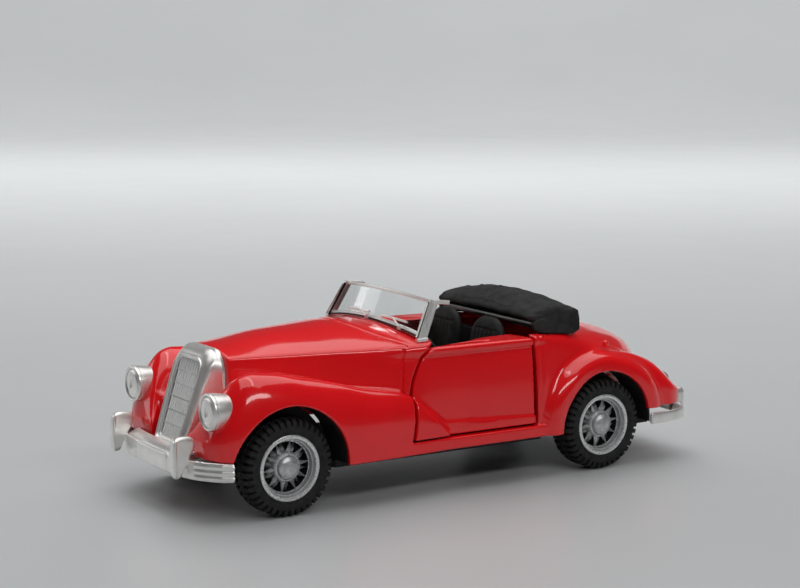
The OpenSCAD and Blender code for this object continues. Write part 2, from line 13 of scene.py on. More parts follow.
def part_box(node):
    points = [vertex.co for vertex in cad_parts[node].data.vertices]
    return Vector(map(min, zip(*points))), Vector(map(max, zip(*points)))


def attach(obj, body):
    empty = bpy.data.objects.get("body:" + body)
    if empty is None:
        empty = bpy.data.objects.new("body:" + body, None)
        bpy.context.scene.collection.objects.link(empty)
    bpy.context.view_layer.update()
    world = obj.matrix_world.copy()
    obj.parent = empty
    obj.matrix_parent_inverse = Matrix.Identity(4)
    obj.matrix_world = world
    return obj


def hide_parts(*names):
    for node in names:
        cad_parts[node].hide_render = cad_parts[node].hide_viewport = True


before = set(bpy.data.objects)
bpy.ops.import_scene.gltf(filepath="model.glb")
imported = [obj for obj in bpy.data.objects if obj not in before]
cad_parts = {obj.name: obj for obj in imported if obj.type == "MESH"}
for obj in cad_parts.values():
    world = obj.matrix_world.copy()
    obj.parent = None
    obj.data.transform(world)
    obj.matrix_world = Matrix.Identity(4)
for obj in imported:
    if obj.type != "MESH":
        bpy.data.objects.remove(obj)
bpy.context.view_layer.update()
MM = 0.001
scene = bpy.context.scene


# ---- materials

class Shader:
    """A node material built from a Principled shader with procedural variation."""

    def __init__(self, name, **values):
        self.mat = bpy.data.materials.new(name)
        self.mat.use_nodes = True
        self.nodes = self.mat.node_tree.nodes
        self.links = self.mat.node_tree.links
        self.bsdf = self.nodes["Principled BSDF"]
        for key, value in values.items():
            self.bsdf.inputs[key.replace("_", " ")].default_value = value
        self.coords = self.nodes.new("ShaderNodeTexCoord").outputs["Object"]
        self.height = None

    def noise(self, scale, detail=4.0, rough=0.55, stretch=None):
        """A noise value, scale in repeats per millimetre."""
        node = self.nodes.new("ShaderNodeTexNoise")
        node.inputs["Scale"].default_value = scale / MM
        node.inputs["Detail"].default_value = detail
        node.inputs["Roughness"].default_value = rough
        source = self.coords
        if stretch:
            mapping = self.nodes.new("ShaderNodeMapping")
            mapping.inputs["Scale"].default_value = stretch
            self.links.new(self.coords, mapping.inputs["Vector"])
            source = mapping.outputs["Vector"]
        self.links.new(source, node.inputs["Vector"])
        return node.outputs["Fac"]

    def cells(self, scale):
        node = self.nodes.new("ShaderNodeTexVoronoi")
        node.inputs["Scale"].default_value = scale / MM
        self.links.new(self.coords, node.inputs["Vector"])
        return node.outputs["Distance"]

    def ramp(self, value, low, high, at=(0.35, 0.65)):
        """Two colours (or greys) across a value."""
        node = self.nodes.new("ShaderNodeValToRGB")
        for stop, place, colour in zip(node.color_ramp.elements, at, (low, high)):
            stop.position = place
            stop.color = (*colour, 1) if hasattr(colour, "__len__") else (colour, colour, colour, 1)
        self.links.new(value, node.inputs["Fac"])
        return node.outputs["Color"]

    def feed(self, socket, value):
        self.links.new(value, self.bsdf.inputs[socket])
        return self

    def bump(self, value, depth, socket="Normal"):
        """Surface relief, depth in millimetres."""
        node = self.nodes.new("ShaderNodeBump")
        node.inputs["Strength"].default_value = 1.0
        node.inputs["Distance"].default_value = depth * MM
        self.links.new(value, node.inputs["Height"])
        if self.height:
            self.links.new(self.height, node.inputs["Normal"])
        self.height = node.outputs["Normal"]
        self.links.new(self.height, self.bsdf.inputs[socket])
        return self


def surface(name, colour, roughness, relief=(), **sockets):
    """A material. colour and roughness are (repeats per mm, low, high), with a stretch of the
    noise after them if it has one, and relief lists (repeats per mm, depth, detail of the
    noise or None for cells), with the socket after them if it isn't Normal."""
    s = Shader(name, **sockets)
    for socket, varied in (("Base Color", colour), ("Roughness", roughness)):
        if varied:
            scale, low, high, *stretch = varied
            value = s.noise(scale, stretch=stretch[0] if stretch else None)
            s.feed(socket, s.ramp(value, low, high))
    for scale, depth, detail, *socket in relief:
        s.bump(s.noise(scale, detail) if detail else s.cells(scale), depth, *socket)
    return s.mat


BRUSHED = (0.1, 1, 1)
MAT = {
    "paint": surface(
        "red_gloss_paint", (0.06, (0.86, 0.0025, 0.006), (0.92, 0.004, 0.009)), (1.4, 0.30, 0.38),
        [(0.5, 0.010, 2.0), (0.45, 0.006, 2.0, "Coat Normal")],
        Coat_Weight=1.0, Coat_Roughness=0.09, Coat_IOR=1.6, Specular_IOR_Level=0.1),
    "plating": surface(
        "satin_silver_plating", (0.3, (0.84, 0.83, 0.80), (0.92, 0.91, 0.885)),
        (0.8, 0.30, 0.40, (1, 1, 0.4)), [(1.6, 0.008, 3.0)], Metallic=0.78),
    # grille bars: silver plating made near-white and barely metallic, a painted sheen that stands
    # in for the many small reflections off the fine bars
    "bars": surface(
        "grille_plating_painted_sheen", (0.5, (0.93, 0.93, 0.92), (0.98, 0.98, 0.97)), (1.0, 0.28, 0.38),
        [(2.0, 0.008, 3.0)], Metallic=0.1),
    "rim": surface(
        "silver_rim_paint", (1.2, (0.50, 0.505, 0.51), (0.68, 0.685, 0.69)), (3.0, 0.3, 0.44),
        [(5.0, 0.008, 3.0)], Metallic=0.7),
    "rim_edge": surface(
        "rim_bright_edge", (1.0, (0.72, 0.725, 0.73), (0.82, 0.82, 0.82)), (2.0, 0.26, 0.36),
        Metallic=0.6),
    # near-black for the disc behind the spokes and the gauge faces; behind the grille bars it is
    # painted shade
    "recess": surface(
        "wheel_recess_black", (1.0, (0.006, 0.006, 0.007), (0.02, 0.02, 0.022)), (2.0, 0.5, 0.7),
        Specular_IOR_Level=0.3),
    "tyre": surface(
        "tyre_rubber_black", (0.7, (0.008, 0.008, 0.0085), (0.022, 0.0215, 0.021)),
        (2.2, 0.62, 0.82), [(3.5, 0.03, 5.0)], Specular_IOR_Level=0.35),
    "black": surface(
        "grained_black_plastic", (0.5, (0.010, 0.010, 0.011), (0.022, 0.022, 0.023)),
        (2.0, 0.5, 0.68), [(2.2, 0.03, None)], Specular_IOR_Level=0.35),
    "vinyl": surface(
        "folded_top_vinyl", (0.35, (0.012, 0.012, 0.0125), (0.03, 0.029, 0.029)),
        (1.5, 0.6, 0.78), [(3.2, 0.035, None), (0.25, 0.12, 3.0)], Specular_IOR_Level=0.3),
    "fold": surface(
        "glossy_fold", (0.3, (0.012, 0.010, 0.010), (0.026, 0.022, 0.022)), (1.0, 0.28, 0.42),
        [(0.5, 0.06, 3.0)], Specular_IOR_Level=0.5, Coat_Weight=0.5, Coat_Roughness=0.2),
    "seat": surface(
        "seat_grain_plastic", (0.5, (0.007, 0.008, 0.0075), (0.018, 0.019, 0.018)),
        (1.6, 0.46, 0.64), [(2.8, 0.03, None)], Specular_IOR_Level=0.2),
    "clear": surface(
        "clear_screen_plastic", (0.2, (0.93, 0.95, 0.95), (0.98, 0.985, 0.985)),
        (0.8, 0.02, 0.05), Transmission_Weight=1.0, IOR=1.32),
    "lens": surface(
        "red_lens_plastic", (1.5, (0.22, 0.003, 0.003), (0.34, 0.008, 0.008)), None,
        [(1.4, 0.06, None)], Roughness=0.15, Transmission_Weight=0.2, IOR=1.45, Coat_Weight=0.6),
    "steel": surface(
        "drawn_steel", (0.6, (0.42, 0.42, 0.43), (0.6, 0.6, 0.6), BRUSHED),
        (3.0, 0.22, 0.4, BRUSHED), Metallic=1.0),
    "nylon": surface(
        "gear_nylon", (0.8, (0.66, 0.62, 0.52), (0.78, 0.74, 0.64)), (2.0, 0.32, 0.48),
        Subsurface_Weight=0.15, Subsurface_Scale=0.0008),
    "brass": surface(
        "pinion_brass", (1.0, (0.55, 0.40, 0.17), (0.74, 0.57, 0.27)), (3.0, 0.24, 0.4),
        Metallic=1.0),
    "spring": surface(
        "blue_spring_steel", (0.5, (0.14, 0.17, 0.24), (0.30, 0.33, 0.38)), (2.0, 0.25, 0.42),
        Metallic=1.0),
    "motor": surface(
        "motor_case_plastic", (0.5, (0.05, 0.05, 0.055), (0.085, 0.085, 0.09)),
        (1.5, 0.42, 0.58), [(1.8, 0.03, None)], Specular_IOR_Level=0.4),
}


# ---- making meshes

def finish_piece(name, mesh, material, body, slot, nodes=(), normals=None, sharp=None):
    """Makes a mesh a piece. It rides on a body and stands for the CAD nodes given."""
    for key in material if isinstance(material, list) else [material]:
        mesh.materials.append(MAT[key])
    mesh.polygons.foreach_set("use_smooth", np.ones(len(mesh.polygons), bool))
    if sharp:
        mesh.set_sharp_from_angle(angle=radians(sharp))
    if normals is not None:
        mesh.normals_split_custom_set_from_vertices(normals)
    obj = bpy.data.objects.new(name, mesh)
    scene.collection.objects.link(obj)
    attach(obj, body)
    if nodes:
        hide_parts(*nodes)


def side_of(node):
    """1 for a CAD node on the +X side of the car, and -1 for one on the other side."""
    return 1 if sum(v.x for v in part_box(node)) > 0 else -1


# ---- fields for the cast body

def smin(a, b, k):
    """Union of two fields with a fillet of about k."""
    h = np.maximum(k - np.abs(a - b), 0) / k
    return np.minimum(a, b) - h * h * k * 0.25


def smax(a, b, k):
    return -smin(-a, -b, k)


def pchip(table):
    """Curve with no overshoot through [place, value] pairs."""
    t = np.array(table, float)
    x, y = t[:, 0], t[:, 1]
    h = np.diff(x)
    d = np.diff(y) / h
    m = np.zeros(len(x))
    for i in range(1, len(x) - 1):
        if d[i - 1] * d[i] > 0:
            w1, w2 = 2 * h[i] + h[i - 1], h[i] + 2 * h[i - 1]
            m[i] = (w1 + w2) / (w1 / d[i - 1] + w2 / d[i])
    m[0], m[-1] = d[0], d[-1]

    def at(q):
        q = np.clip(np.asarray(q, float), x[0], x[-1])
        i = np.clip(np.searchsorted(x, q) - 1, 0, len(h) - 1)
        s = (q - x[i]) / h[i]
        return ((1 + 2 * s) * (1 - s) ** 2 * y[i] + s * (1 - s) ** 2 * h[i] * m[i]
                + s * s * (3 - 2 * s) * y[i + 1] + s * s * (s - 1) * h[i] * m[i + 1])
    return at


def body_line(table, spread=1.0):
    """A body line that has no kinks: the curve through the table, averaged over a short stretch."""
    curve = pchip(table)
    steps = np.linspace(-2.5, 2.5, 21)
    weights = np.exp(-steps ** 2 / 2)
    weights /= weights.sum()

    def at(q):
        q = np.asarray(q, float)
        return sum(w * curve(q + s * spread) for s, w in zip(steps, weights))
    return at


def path_field(points, u, v):
    """Distance to an open path."""
    best = np.full(np.broadcast(u, v).shape, 1e9)
    for (au, av), (bu, bv) in zip(points, points[1:]):
        eu, ev = bu - au, bv - av
        t = np.clip(((u - au) * eu + (v - av) * ev) / (eu * eu + ev * ev), 0, 1)
        best = np.minimum(best, (u - au - t * eu) ** 2 + (v - av - t * ev) ** 2)
    return np.sqrt(best)


def polygon_field(points, u, v):
    """Signed distance to a closed outline, negative inside."""
    closed = points + points[:1]
    distance = path_field(closed, u, v)
    inside = np.zeros(distance.shape, bool)
    for (au, av), (bu, bv) in zip(closed, closed[1:]):
        if bv != av:
            inside ^= ((av > v) != (bv > v)) & (u < au + (bu - au) * (v - av) / (bv - av))
    return distance * np.where(inside, -1, 1)


def rounded(points, times):
    """A closed outline with its corners cut, again and again."""
    for _ in range(times):
        points = [(a[0] + q * (b[0] - a[0]), a[1] + q * (b[1] - a[1]))
                  for a, b in zip(points, points[1:] + points[:1]) for q in (0.25, 0.75)]
    return points


# ---- shared measures of the car

WALL = 1.3
DOOR_GAP = 0.4
DOOR_T = 1.8
FLOOR_Z = 9.5
LIFTED_Z = 12.6
WHEEL_Z = 10.1
WHEEL_X = 19.4
SPOKES = 10
FRONT_Y, REAR_Y = -42.5, 37.5
FRONT_ARCH_R, REAR_ARCH_R = 12.8, 12.2
ARM_X = 10
SPRING_Z = 15.5
DOOR_REAR_Y = 18.9
DOOR_BOTTOM_Z, DOOR_TOP_Z = 12.5, 31.3
HINGE_X, HINGE_Y, HINGE_Z = 19.2, 21.2, 19.0

top_z = body_line([
    [-51.5, 32.6], [-45, 33.3], [-36, 34.6], [-28, 35.1], [-20, 35.5], [-9, 34.7], [18, 32.6],
    [32, 31.8], [40, 31], [49, 29.2], [55, 27], [59, 24.6], [62, 21], [63.6, 17], [64, 14]], 0.8)
crease_z = body_line([
    [-51.5, 31.2], [-20, 31.6], [-9, 32.2], [18.9, 31.3], [30, 30.4], [40, 28.4], [49, 25.2],
    [55, 22.2], [60, 18], [63, 14.6], [64, 13.2]], 1.2)
crease_x = body_line([
    [-51.5, 9.2], [-42.5, 11.7], [-35.5, 13.6], [-28, 15.4], [-20, 17.4], [-13, 19], [-8, 20.2],
    [18.9, 20.7], [30, 19.6], [40, 17.8], [49, 15.2], [55, 12.6], [60, 9], [63, 5],
    [64, 2.5]], 1.2)
side_x = body_line([
    [-51.5, 10.4], [-42.5, 13], [-28, 17], [-20, 19.6], [-13, 21.6], [-8, 22.3], [18.9, 22.8],
    [30, 22.2], [40, 20.8], [49, 18], [55, 15.4], [60, 11.8], [63, 7.5], [64, 4.5]], 1.2)
front_wing_x = body_line([
    [-58.8, 14.5], [-55, 17], [-50, 18.2], [-42, 18.6], [-30, 19.6], [-13, 21.2], [-4, 21.8]])
front_wing_out = body_line([
    [-58.8, 17], [-58, 19.4], [-56.5, 21.6], [-54, 23.4], [-50, 24.5], [-42, 24.9], [-30, 24.8],
    [-13, 24.1], [-4, 23.5]], 0.5)
front_wing_z = body_line([
    [-58.8, 15.5], [-57.6, 19], [-56.4, 22], [-55, 24.8], [-53.4, 27], [-51.5, 28.7], [-49, 29.4],
    [-44, 29], [-38, 27.7], [-30, 25.9], [-24, 24.2], [-14.5, 22.3], [-11.8, 21], [-8, 17.6],
    [-4, 13.4]], 0.6)
rear_wing_x = body_line([[20.4, 20.5], [30, 19.5], [45, 18.5], [55, 15.5], [64, 5]])
rear_wing_out = body_line([
    [20.4, 22.9], [22, 23.6], [25, 24.3], [30, 24.8], [42, 24.9], [48, 24.3], [53, 23.2],
    [57, 22.6], [60, 21.3], [62, 19.2], [63.2, 15.6], [63.8, 9.5]], 0.5)
rear_wing_z = body_line([
    [20.4, 13], [21.7, 19.1], [23.9, 23.2], [26.8, 25.3], [30.2, 26.1], [35.9, 26.6], [45.4, 25.4],
    [52.2, 23.5], [55.1, 22.3], [57.6, 20.4], [60.5, 17.2], [62.4, 14.6], [63.8, 13.2]], 0.5)
door_front_y = pchip([
    [12.5, -13.6], [15, -13.2], [19, -12.8], [23, -12.3], [27, -10.8], [30.3, -8.6], [31.3, -7.2],
    [34, -3.5]])


def door_side_x(z):
    """Half-width of the outer skin at the rear edge of the doors."""
    drop = np.clip((31.3 - np.asarray(z, float)) / 18.3, 0, 1)
    return 20.7 + 2.1 * np.sin(drop * pi / 2) ** 0.8


class Grid:
    """A regular grid over one half of the car, or over a door."""

    def __init__(self, low, high, step):
        self.low, self.step = np.array(low, float), step
        self.axes = [np.arange(a, b + step / 2, step) for a, b in zip(low, high)]
        self.x = self.axes[0][:, None, None].astype(np.float32)
        self.y = self.axes[1][None, :, None].astype(np.float32)
        self.z = self.axes[2][None, None, :].astype(np.float32)
        self.ax = np.abs(self.x)

    def along(self, curve, axis=1):
        """Values of a curve of y (or of z) shaped for the grid."""
        shape = [1, 1, 1]
        shape[axis] = -1
        return curve(self.axes[axis]).astype(np.float32).reshape(shape)

    def in_plan(self, field, points):
        """polygon_field or path_field of an outline seen from above, in |x| and y."""
        x, y = np.abs(self.axes[0])[:, None], self.axes[1][None, :]
        return field(points, x, y)[:, :, None].astype(np.float32)

    def in_side(self, field, points):
        """polygon_field or path_field of an outline seen from the side, in y and z."""
        y, z = self.axes[1][:, None], self.axes[2][None, :]
        return field(points, y, z)[None].astype(np.float32)

    def even(self, f):
        """The field divided by how fast it grows, so that it measures distance near the surface."""
        n = [len(a) for a in self.axes]
        f = np.broadcast_to(f, n)
        g = np.zeros(n, np.float32)
        for axis in range(3):
            d = np.gradient(f, self.step, axis=axis)
            g += d * d
        return f / np.sqrt(np.maximum(g, 0.01))


def core_field(g):
    zc, zk = g.along(top_z), g.along(crease_z)
    xc, sx = g.along(crease_x), g.along(side_x)
    top = g.z - (zc - (zc - zk) * (g.ax / xc) ** 2)
    drop = np.clip((zk - g.z) / (zk - 13), 0.0005, 1)
    side = g.ax - (xc + (sx - xc) * np.sin(drop * pi / 2) ** 0.8)
    soft = g.along(pchip([[-60, 0.55], [-8, 0.6], [19, 1.0], [32, 2.5], [42, 5], [64, 6]]))
    f = smax(g.even(top), g.even(side), soft)
    return smax(smax(f, -49.9 - g.y, 0.5), g.y - 64, 2.0)


def wing_field(g, x_line, out_line, z_line, y0, y1):
    xl, out, zl = g.along(x_line), g.along(out_line), g.along(z_line)
    spring = np.minimum(SPRING_Z, zl - 1.5)
    u = (g.ax - xl) / np.where(g.ax > xl, out - xl, 7.0)
    v = np.maximum(g.z - spring, 0) / (zl - spring)
    f = g.even(np.sqrt(u * u + v * v + 1e-4) - 1)
    return smax(smax(f, y0 - g.y, 0.8), g.y - y1, 0.8)


def box_field(g, x0, x1, y0, y1, z0, z1, soft=0.5):
    f = smax(np.abs(g.ax - (x0 + x1) / 2) - (x1 - x0) / 2,
             np.abs(g.y - (y0 + y1) / 2) - (y1 - y0) / 2, soft)
    return smax(f, np.abs(g.z - (z0 + z1) / 2) - (z1 - z0) / 2, soft)


def bulge(distance, width):
    """A smooth hump, 1 at the middle and 0 beyond the width."""
    t = np.clip(1 - (distance / width) ** 2, 0, 1)
    return t * t


def outer_form(g):
    """The whole outer skin, doors closed, before anything is cut."""
    core = core_field(g)
    front = wing_field(g, front_wing_x, front_wing_out, front_wing_z, -58.8, -4)
    rear = wing_field(g, rear_wing_x, rear_wing_out, rear_wing_z, 20.4, 63.8)
    wheel_r = np.sqrt((g.y - REAR_Y) ** 2 + (g.z - WHEEL_Z) ** 2)
    on_side = np.clip((g.ax - 19.5) / 2.5, 0, 1)
    # rolled flare round the rear arch, with a shallow valley outside it
    rear = rear - 0.50 * bulge(wheel_r - 14.6, 2.2) * on_side + 0.60 * bulge(wheel_r - 17.9,
                                                                             2.0) * on_side
    f = smin(core, front, 0.9)
    f = smin(f, rear, 0.9)
    sill = box_field(g, 16, 23.5, -31, 24.5, 5, 12.1, 0.5)
    apron = box_field(g, 0, 14.6, -55.2, -50, 5, 21, 1.5)
    f = smin(f, sill, 0.25)
    f = smin(f, apron, 1.0)
    # rolled belt above a thin line, along the doors and a little beyond
    belt = np.clip((g.y + 20) / 8, 0, 1) * np.clip((24 - g.y) / 6, 0, 1) * (g.ax > 18)
    f = f - 0.42 * bulge(g.z - 30.9, 1.5) * belt + 0.12 * bulge(g.z - 29.2, 0.5) * belt
    return f


def door_outline():
    front = [(float(door_front_y(z)), float(z)) for z in np.linspace(DOOR_BOTTOM_Z, 33.9, 24)]
    return front + [(-3.5, 60.0), (DOOR_REAR_Y, 60.0), (DOOR_REAR_Y, DOOR_BOTTOM_Z)]


def cockpit_outline():
    """Plan of the opening: straight sides, rounded corners and a bow at the front."""
    half = []
    for a in np.linspace(0, 90, 7):
        half.append((14.6 + 4 * cos(radians(a)), 24 + 4 * sin(radians(a))))
    half = half[::-1]
    for a in np.linspace(0, 60, 5):
        half.append((15.6 + 2 * cos(radians(-a)), -4.6 + 2 * sin(radians(-a))))
    half += [(12.0, -7.0), (8.0, -7.0), (4.0, -6.7)]
    return half + [(-x, y) for x, y in reversed(half)]


def grooved(f, distance, width, depth, soft=0.12):
    """The field with a groove cut along a line."""
    return smax(f, np.minimum(width / 2 - distance, f + depth), soft)


def carry_arch(g, f, y, r):
    """Wheel arch cut, from the inner wing outwards."""
    d = r - np.sqrt((g.y - y) ** 2 + (g.z - WHEEL_Z) ** 2)
    return smax(f, np.minimum(d, g.ax - 16.4), 0.35)


def body_field(g):
    f = outer_form(g)
    # hood shut line: an arc in plan, then down the side
    arc = [(x, -19.8 + 0.0205 * x * x) for x in np.linspace(0, 18, 19)]
    plan = g.in_plan(path_field, [(-1.0, -19.8)] + arc + [(19.2, -12.6)])
    down = g.in_side(path_field, [(-13.2, 33.0), (-13.6, 30.0), (-14.5, 22.6), (-14.4, 22.2)])
    top_only = np.maximum(plan, 30.4 - g.z)
    side_only = np.maximum(np.maximum(down, 17.6 - g.ax), g.z - 31.2)
    f = grooved(f, np.minimum(top_only, side_only), 0.44, 0.45)
    # the short shut line along the wing top to the door
    foot = g.in_side(path_field, [(-14.5, 22.4), (-12.3, 21.6)])
    f = grooved(f, np.maximum(foot, 18.5 - g.ax), 0.28, 0.25)
    # second line behind the door, with its foot
    edge = g.in_side(path_field, [(20.6, 31.0), (20.5, 22.0), (20.7, 14.4), (21.6, 13.6)])
    f = grooved(f, np.maximum(edge, 18.5 - g.ax), 0.26, 0.16)
    # tank cap bump
    cap = np.sqrt((g.ax - 18.6) ** 2 + (g.y - 40.7) ** 2 + (g.z - 27.6) ** 2) - 0.8
    f = smin(f, np.where(g.x > 0, cap, 9.0), 0.3)
    shell = smax(f, -(f + WALL), 0.2)
    opening = g.in_plan(polygon_field, cockpit_outline())
    shell = smax(shell, -np.maximum(opening, 24 - g.z), 0.6)
    door = g.in_side(polygon_field, door_outline())
    shell = smax(shell, -np.maximum(door - DOOR_GAP, 16.8 - g.ax), 0.25)
    shell = carry_arch(g, shell, FRONT_Y, FRONT_ARCH_R)
    shell = carry_arch(g, shell, REAR_Y, REAR_ARCH_R)
    # room for the front bumper's arms and the front axle's bearings
    arm_notch = np.maximum(np.abs(g.ax - ARM_X) - 1.1, np.abs(g.y + 51) - 6)
    bearing_notch = np.maximum(np.abs(g.ax - 13) - 4, np.abs(g.y - FRONT_Y) - 3.2)
    arm_notch, bearing_notch = (np.maximum(notch, g.z - top) for notch, top in (
        (arm_notch, 12.3), (bearing_notch, 13.2)))
    shell = smax(shell, -np.minimum(arm_notch, bearing_notch), 0.1)
    lifted = (g.y < -52) | (g.y > 49) | ((g.ax > 15) & ((g.y < -43) | (g.y > 40)))
    shell = smax(shell, np.where(lifted, LIFTED_Z, FLOOR_Z).astype(np.float32) - g.z, 0.3)
    return shell


def door_field(g):
    f = outer_form(g)
    outline = g.in_side(polygon_field, door_outline())
    # recessed panel between the wing's tail, the lower crease and the belt
    panel = g.in_side(polygon_field, [
        (-15.0, 22.0), (-12.6, 20.6), (-10.2, 19.3), (-7.4, 17.4), (-5.2, 15.6), (-4.4, 15.2),
        (6, 14.7), (17.9, 14.15), (30.0, 14.0), (30.0, 29.5), (-20, 29.5)])
    recess = np.clip(-panel / 0.45, 0, 1)
    f = f + 0.34 * recess * recess * (3 - 2 * recess)
    belt_line = g.in_side(path_field, [(-20.0, 29.5), (30.0, 29.35)])
    f = grooved(f, belt_line, 0.22, 0.10, 0.1)
    shell = smax(f, -(f + DOOR_T), 0.4)
    shell = smax(shell, outline, 0.35)
    shell = smax(shell, g.z - DOOR_TOP_Z, 1.2)
    shell = smax(shell, g.along(door_front_y, 2) + 0.3 - g.y, 0.4)
    # the rear edge slants inwards so that it swings clear of the body
    xr = g.along(door_side_x, 2)
    inner = xr - DOOR_T
    swing = np.sqrt((xr - HINGE_X) ** 2 + (HINGE_Y - DOOR_REAR_Y - DOOR_GAP) ** 2) + 0.35
    y1 = HINGE_Y - np.sqrt(np.maximum(0.01, swing ** 2 - (inner - HINGE_X) ** 2))
    set_back = np.maximum(DOOR_REAR_Y - y1, 0)
    cut = (DOOR_T * (g.y - DOOR_REAR_Y) - set_back * (g.ax - xr)) / np.hypot(DOOR_T, set_back)
    shell = smax(shell, cut, 0.2)
    # goose-neck arm with its barrel and pins
    arm = g.in_plan(polygon_field, [
        (HINGE_X - 0.9, HINGE_Y), (HINGE_X + 0.3, HINGE_Y - 0.4), (18.4, 17.2), (21.5, 16.6),
        (21.5, 14.6), (17.2, 15.2), (16.6, 16.2)])
    arm = smax(arm, np.abs(g.z - HINGE_Z) - 2, 0.4)
    from_pin = np.hypot(g.x - HINGE_X, g.y - HINGE_Y)
    barrel = smax(from_pin - 1.0, np.abs(g.z - HINGE_Z) - 4.9, 0.3)
    pin = smax(from_pin - 0.5, np.abs(g.z - HINGE_Z) - 6.4, 0.2)
    return smin(shell, smin(smin(arm, barrel, 0.4), pin, 0.1), 0.4)


def field_mesh(name, g, f, side, **how):
    """A piece where the field is zero, with its shading taken from the field's slope.

    side is 1 or -1 for a piece on one side of the car, and 0 for one that spans both."""
    f = f.astype(np.float32)
    if side == 0:
        f = np.concatenate([f[:0:-1], f])
    elif side < 0:
        f = f[::-1]
    low = g.low if side > 0 else np.array([-g.axes[0][-1], g.low[1], g.low[2]])
    volume = openvdb.FloatGrid(3.0)
    volume.copyFromArray(np.ascontiguousarray(f), tolerance=0.0)
    points, tris, quads = volume.convertToPolygons(0.0, 0.012)
    p = np.asarray(points, np.float64)
    i = np.clip(p.astype(int), 0, np.array(f.shape) - 2)
    t = p - i
    slopes = np.zeros((len(p), 3))
    for axis in range(3):
        d = np.gradient(f, axis=axis)
        for corner in range(8):
            o = np.array([corner >> 2 & 1, corner >> 1 & 1, corner & 1])
            w = np.prod(np.where(o, t, 1 - t), axis=1)
            slopes[:, axis] += w * d[tuple((i + o).T)]
    slopes /= np.maximum(np.linalg.norm(slopes, axis=1, keepdims=True), 1e-9)
    world = (low + p * g.step) * MM
    tris, quads = np.asarray(tris), np.asarray(quads)
    # sides face outwards
    a, b, c = (world[quads[:, k]] for k in range(3))
    if np.einsum("ij,ij", np.cross(b - a, c - a), slopes[quads[:, 0]]) < 0:
        tris, quads = tris[:, ::-1], quads[:, ::-1]
    mesh = bpy.data.meshes.new(name)
    loops = np.concatenate([tris.ravel(), quads.ravel()]).astype(np.int32)
    sizes = np.concatenate([np.full(len(tris), 3), np.full(len(quads), 4)])
    mesh.vertices.add(len(world))
    mesh.vertices.foreach_set("co", world.astype(np.float32).ravel())
    mesh.loops.add(len(loops))
    mesh.loops.foreach_set("vertex_index", loops)
    mesh.polygons.add(len(sizes))
    starts = np.concatenate([[0], np.cumsum(sizes)[:-1]]).astype(np.int32)
    mesh.polygons.foreach_set("loop_start", starts)
    mesh.update(calc_edges=True)
    finish_piece(name, mesh, normals=slopes.astype(np.float32), **how)


def make_wheel_wells():
    """Black liners that close the body behind each wheel."""
    p = Parts()
    for y0, r, mid, out, top in (
            (FRONT_Y, FRONT_ARCH_R, front_wing_x, front_wing_out, front_wing_z),
            (REAR_Y, REAR_ARCH_R, rear_wing_x, rear_wing_out, rear_wing_z)):
        for side in (1, -1):
            points = []
            for q in np.radians(np.linspace(-2, 182, 47)):
                y, z = y0 + (r + 0.35) * cos(q), WHEEL_Z + (r + 0.35) * sin(q)
                v = np.clip((z - SPRING_Z) / (float(top(y)) - SPRING_Z), 0, 0.97)
                edge = float(mid(y)) + float(out(y) - mid(y)) * sqrt(1 - v * v) - 0.6
                points += [(side * x, y0 + (r + d) * cos(q), WHEEL_Z + (r + d) * sin(q))
                           for x, d in ((15.6, 0.15), (edge, 0.15), (edge, 0.55), (15.6, 0.55))]
            last = len(points) - 4
            faces = [(i + j, i + (j + 1) % 4, i + 4 + (j + 1) % 4, i + 4 + j)
                     for i in range(0, last, 4) for j in range(4)]
            p.add(points, faces + [(3, 2, 1, 0), (last, last + 1, last + 2, last + 3)])
    p.make("wheel_well_liners", "black", "body", "black_plastic", [], 40)


def make_body():
    g = Grid((0, -60.5, 8.5), (26.0, 65.5, 37), 0.25)
    f = body_field(g)
    field_mesh("body_casting", g, f, 0, material="paint", body="body", slot="red_paint",
               nodes=["body_shell"])
    for name, node, body in (("door_casting_left", "door_left", "left_door"),
                             ("door_casting_right", "door_right", "right_door")):
        g = Grid((15.0, -15.5, 11.5), (25.5, 22.9, 32.5), 0.2)
        field_mesh(name, g, door_field(g), side_of(node), material="paint", body=body,
                   slot="red_paint", nodes=[node])


# ---- turned parts and wheels

def ring_faces(n, steps):
    """Quads of a surface made of rings, or of profiles of n points turned in so many steps."""
    return [(k * n + i, k * n + i + 1, (k + 1) % steps * n + i + 1, (k + 1) % steps * n + i)
            for k in range(steps) for i in range(n - 1)]


def turned(profile, steps, place):
    """Points and faces of a profile of [along, radius] pairs turned round an axis.

    place maps (along, right, up) to the car."""
    points = [place(a, r * cos(t), r * sin(t))
              for t in (2 * pi * k / steps for k in range(steps)) for a, r in profile]
    return points, ring_faces(len(profile), steps)


class Parts:
    """Several shapes put together as one piece, each with its own material number."""

    def __init__(self):
        self.points, self.faces, self.keys = [], [], []

    def add(self, points, faces, key=0):
        base = len(self.points)
        self.points += [tuple(p) for p in points]
        self.faces += [tuple(base + i for i in f) for f in faces]
        self.keys += [key] * len(faces)
        return self

    def block(self, corners, key=0):
        """A closed block from its bottom ring and top ring of points."""
        n = len(corners) // 2
        faces = [tuple(range(n))[::-1], tuple(range(n, 2 * n))]
        faces += [(i, (i + 1) % n, n + (i + 1) % n, n + i) for i in range(n)]
        return self.add(corners, faces, key)

    def make(self, name, material, body, slot, nodes=(), sharp=35):
        mesh = bpy.data.meshes.new(name)
        mesh.from_pydata([tuple(c * MM for c in p) for p in self.points], [], self.faces)
        mesh.polygons.foreach_set("material_index", np.array(self.keys, np.int32))
        bm = bmesh.new()
        bm.from_mesh(mesh)
        bmesh.ops.remove_doubles(bm, verts=bm.verts, dist=1e-7)
        bmesh.ops.recalc_face_normals(bm, faces=bm.faces)
        bm.to_mesh(mesh)
        bm.free()
        finish_piece(name, mesh, material, body, slot, nodes, sharp=sharp)


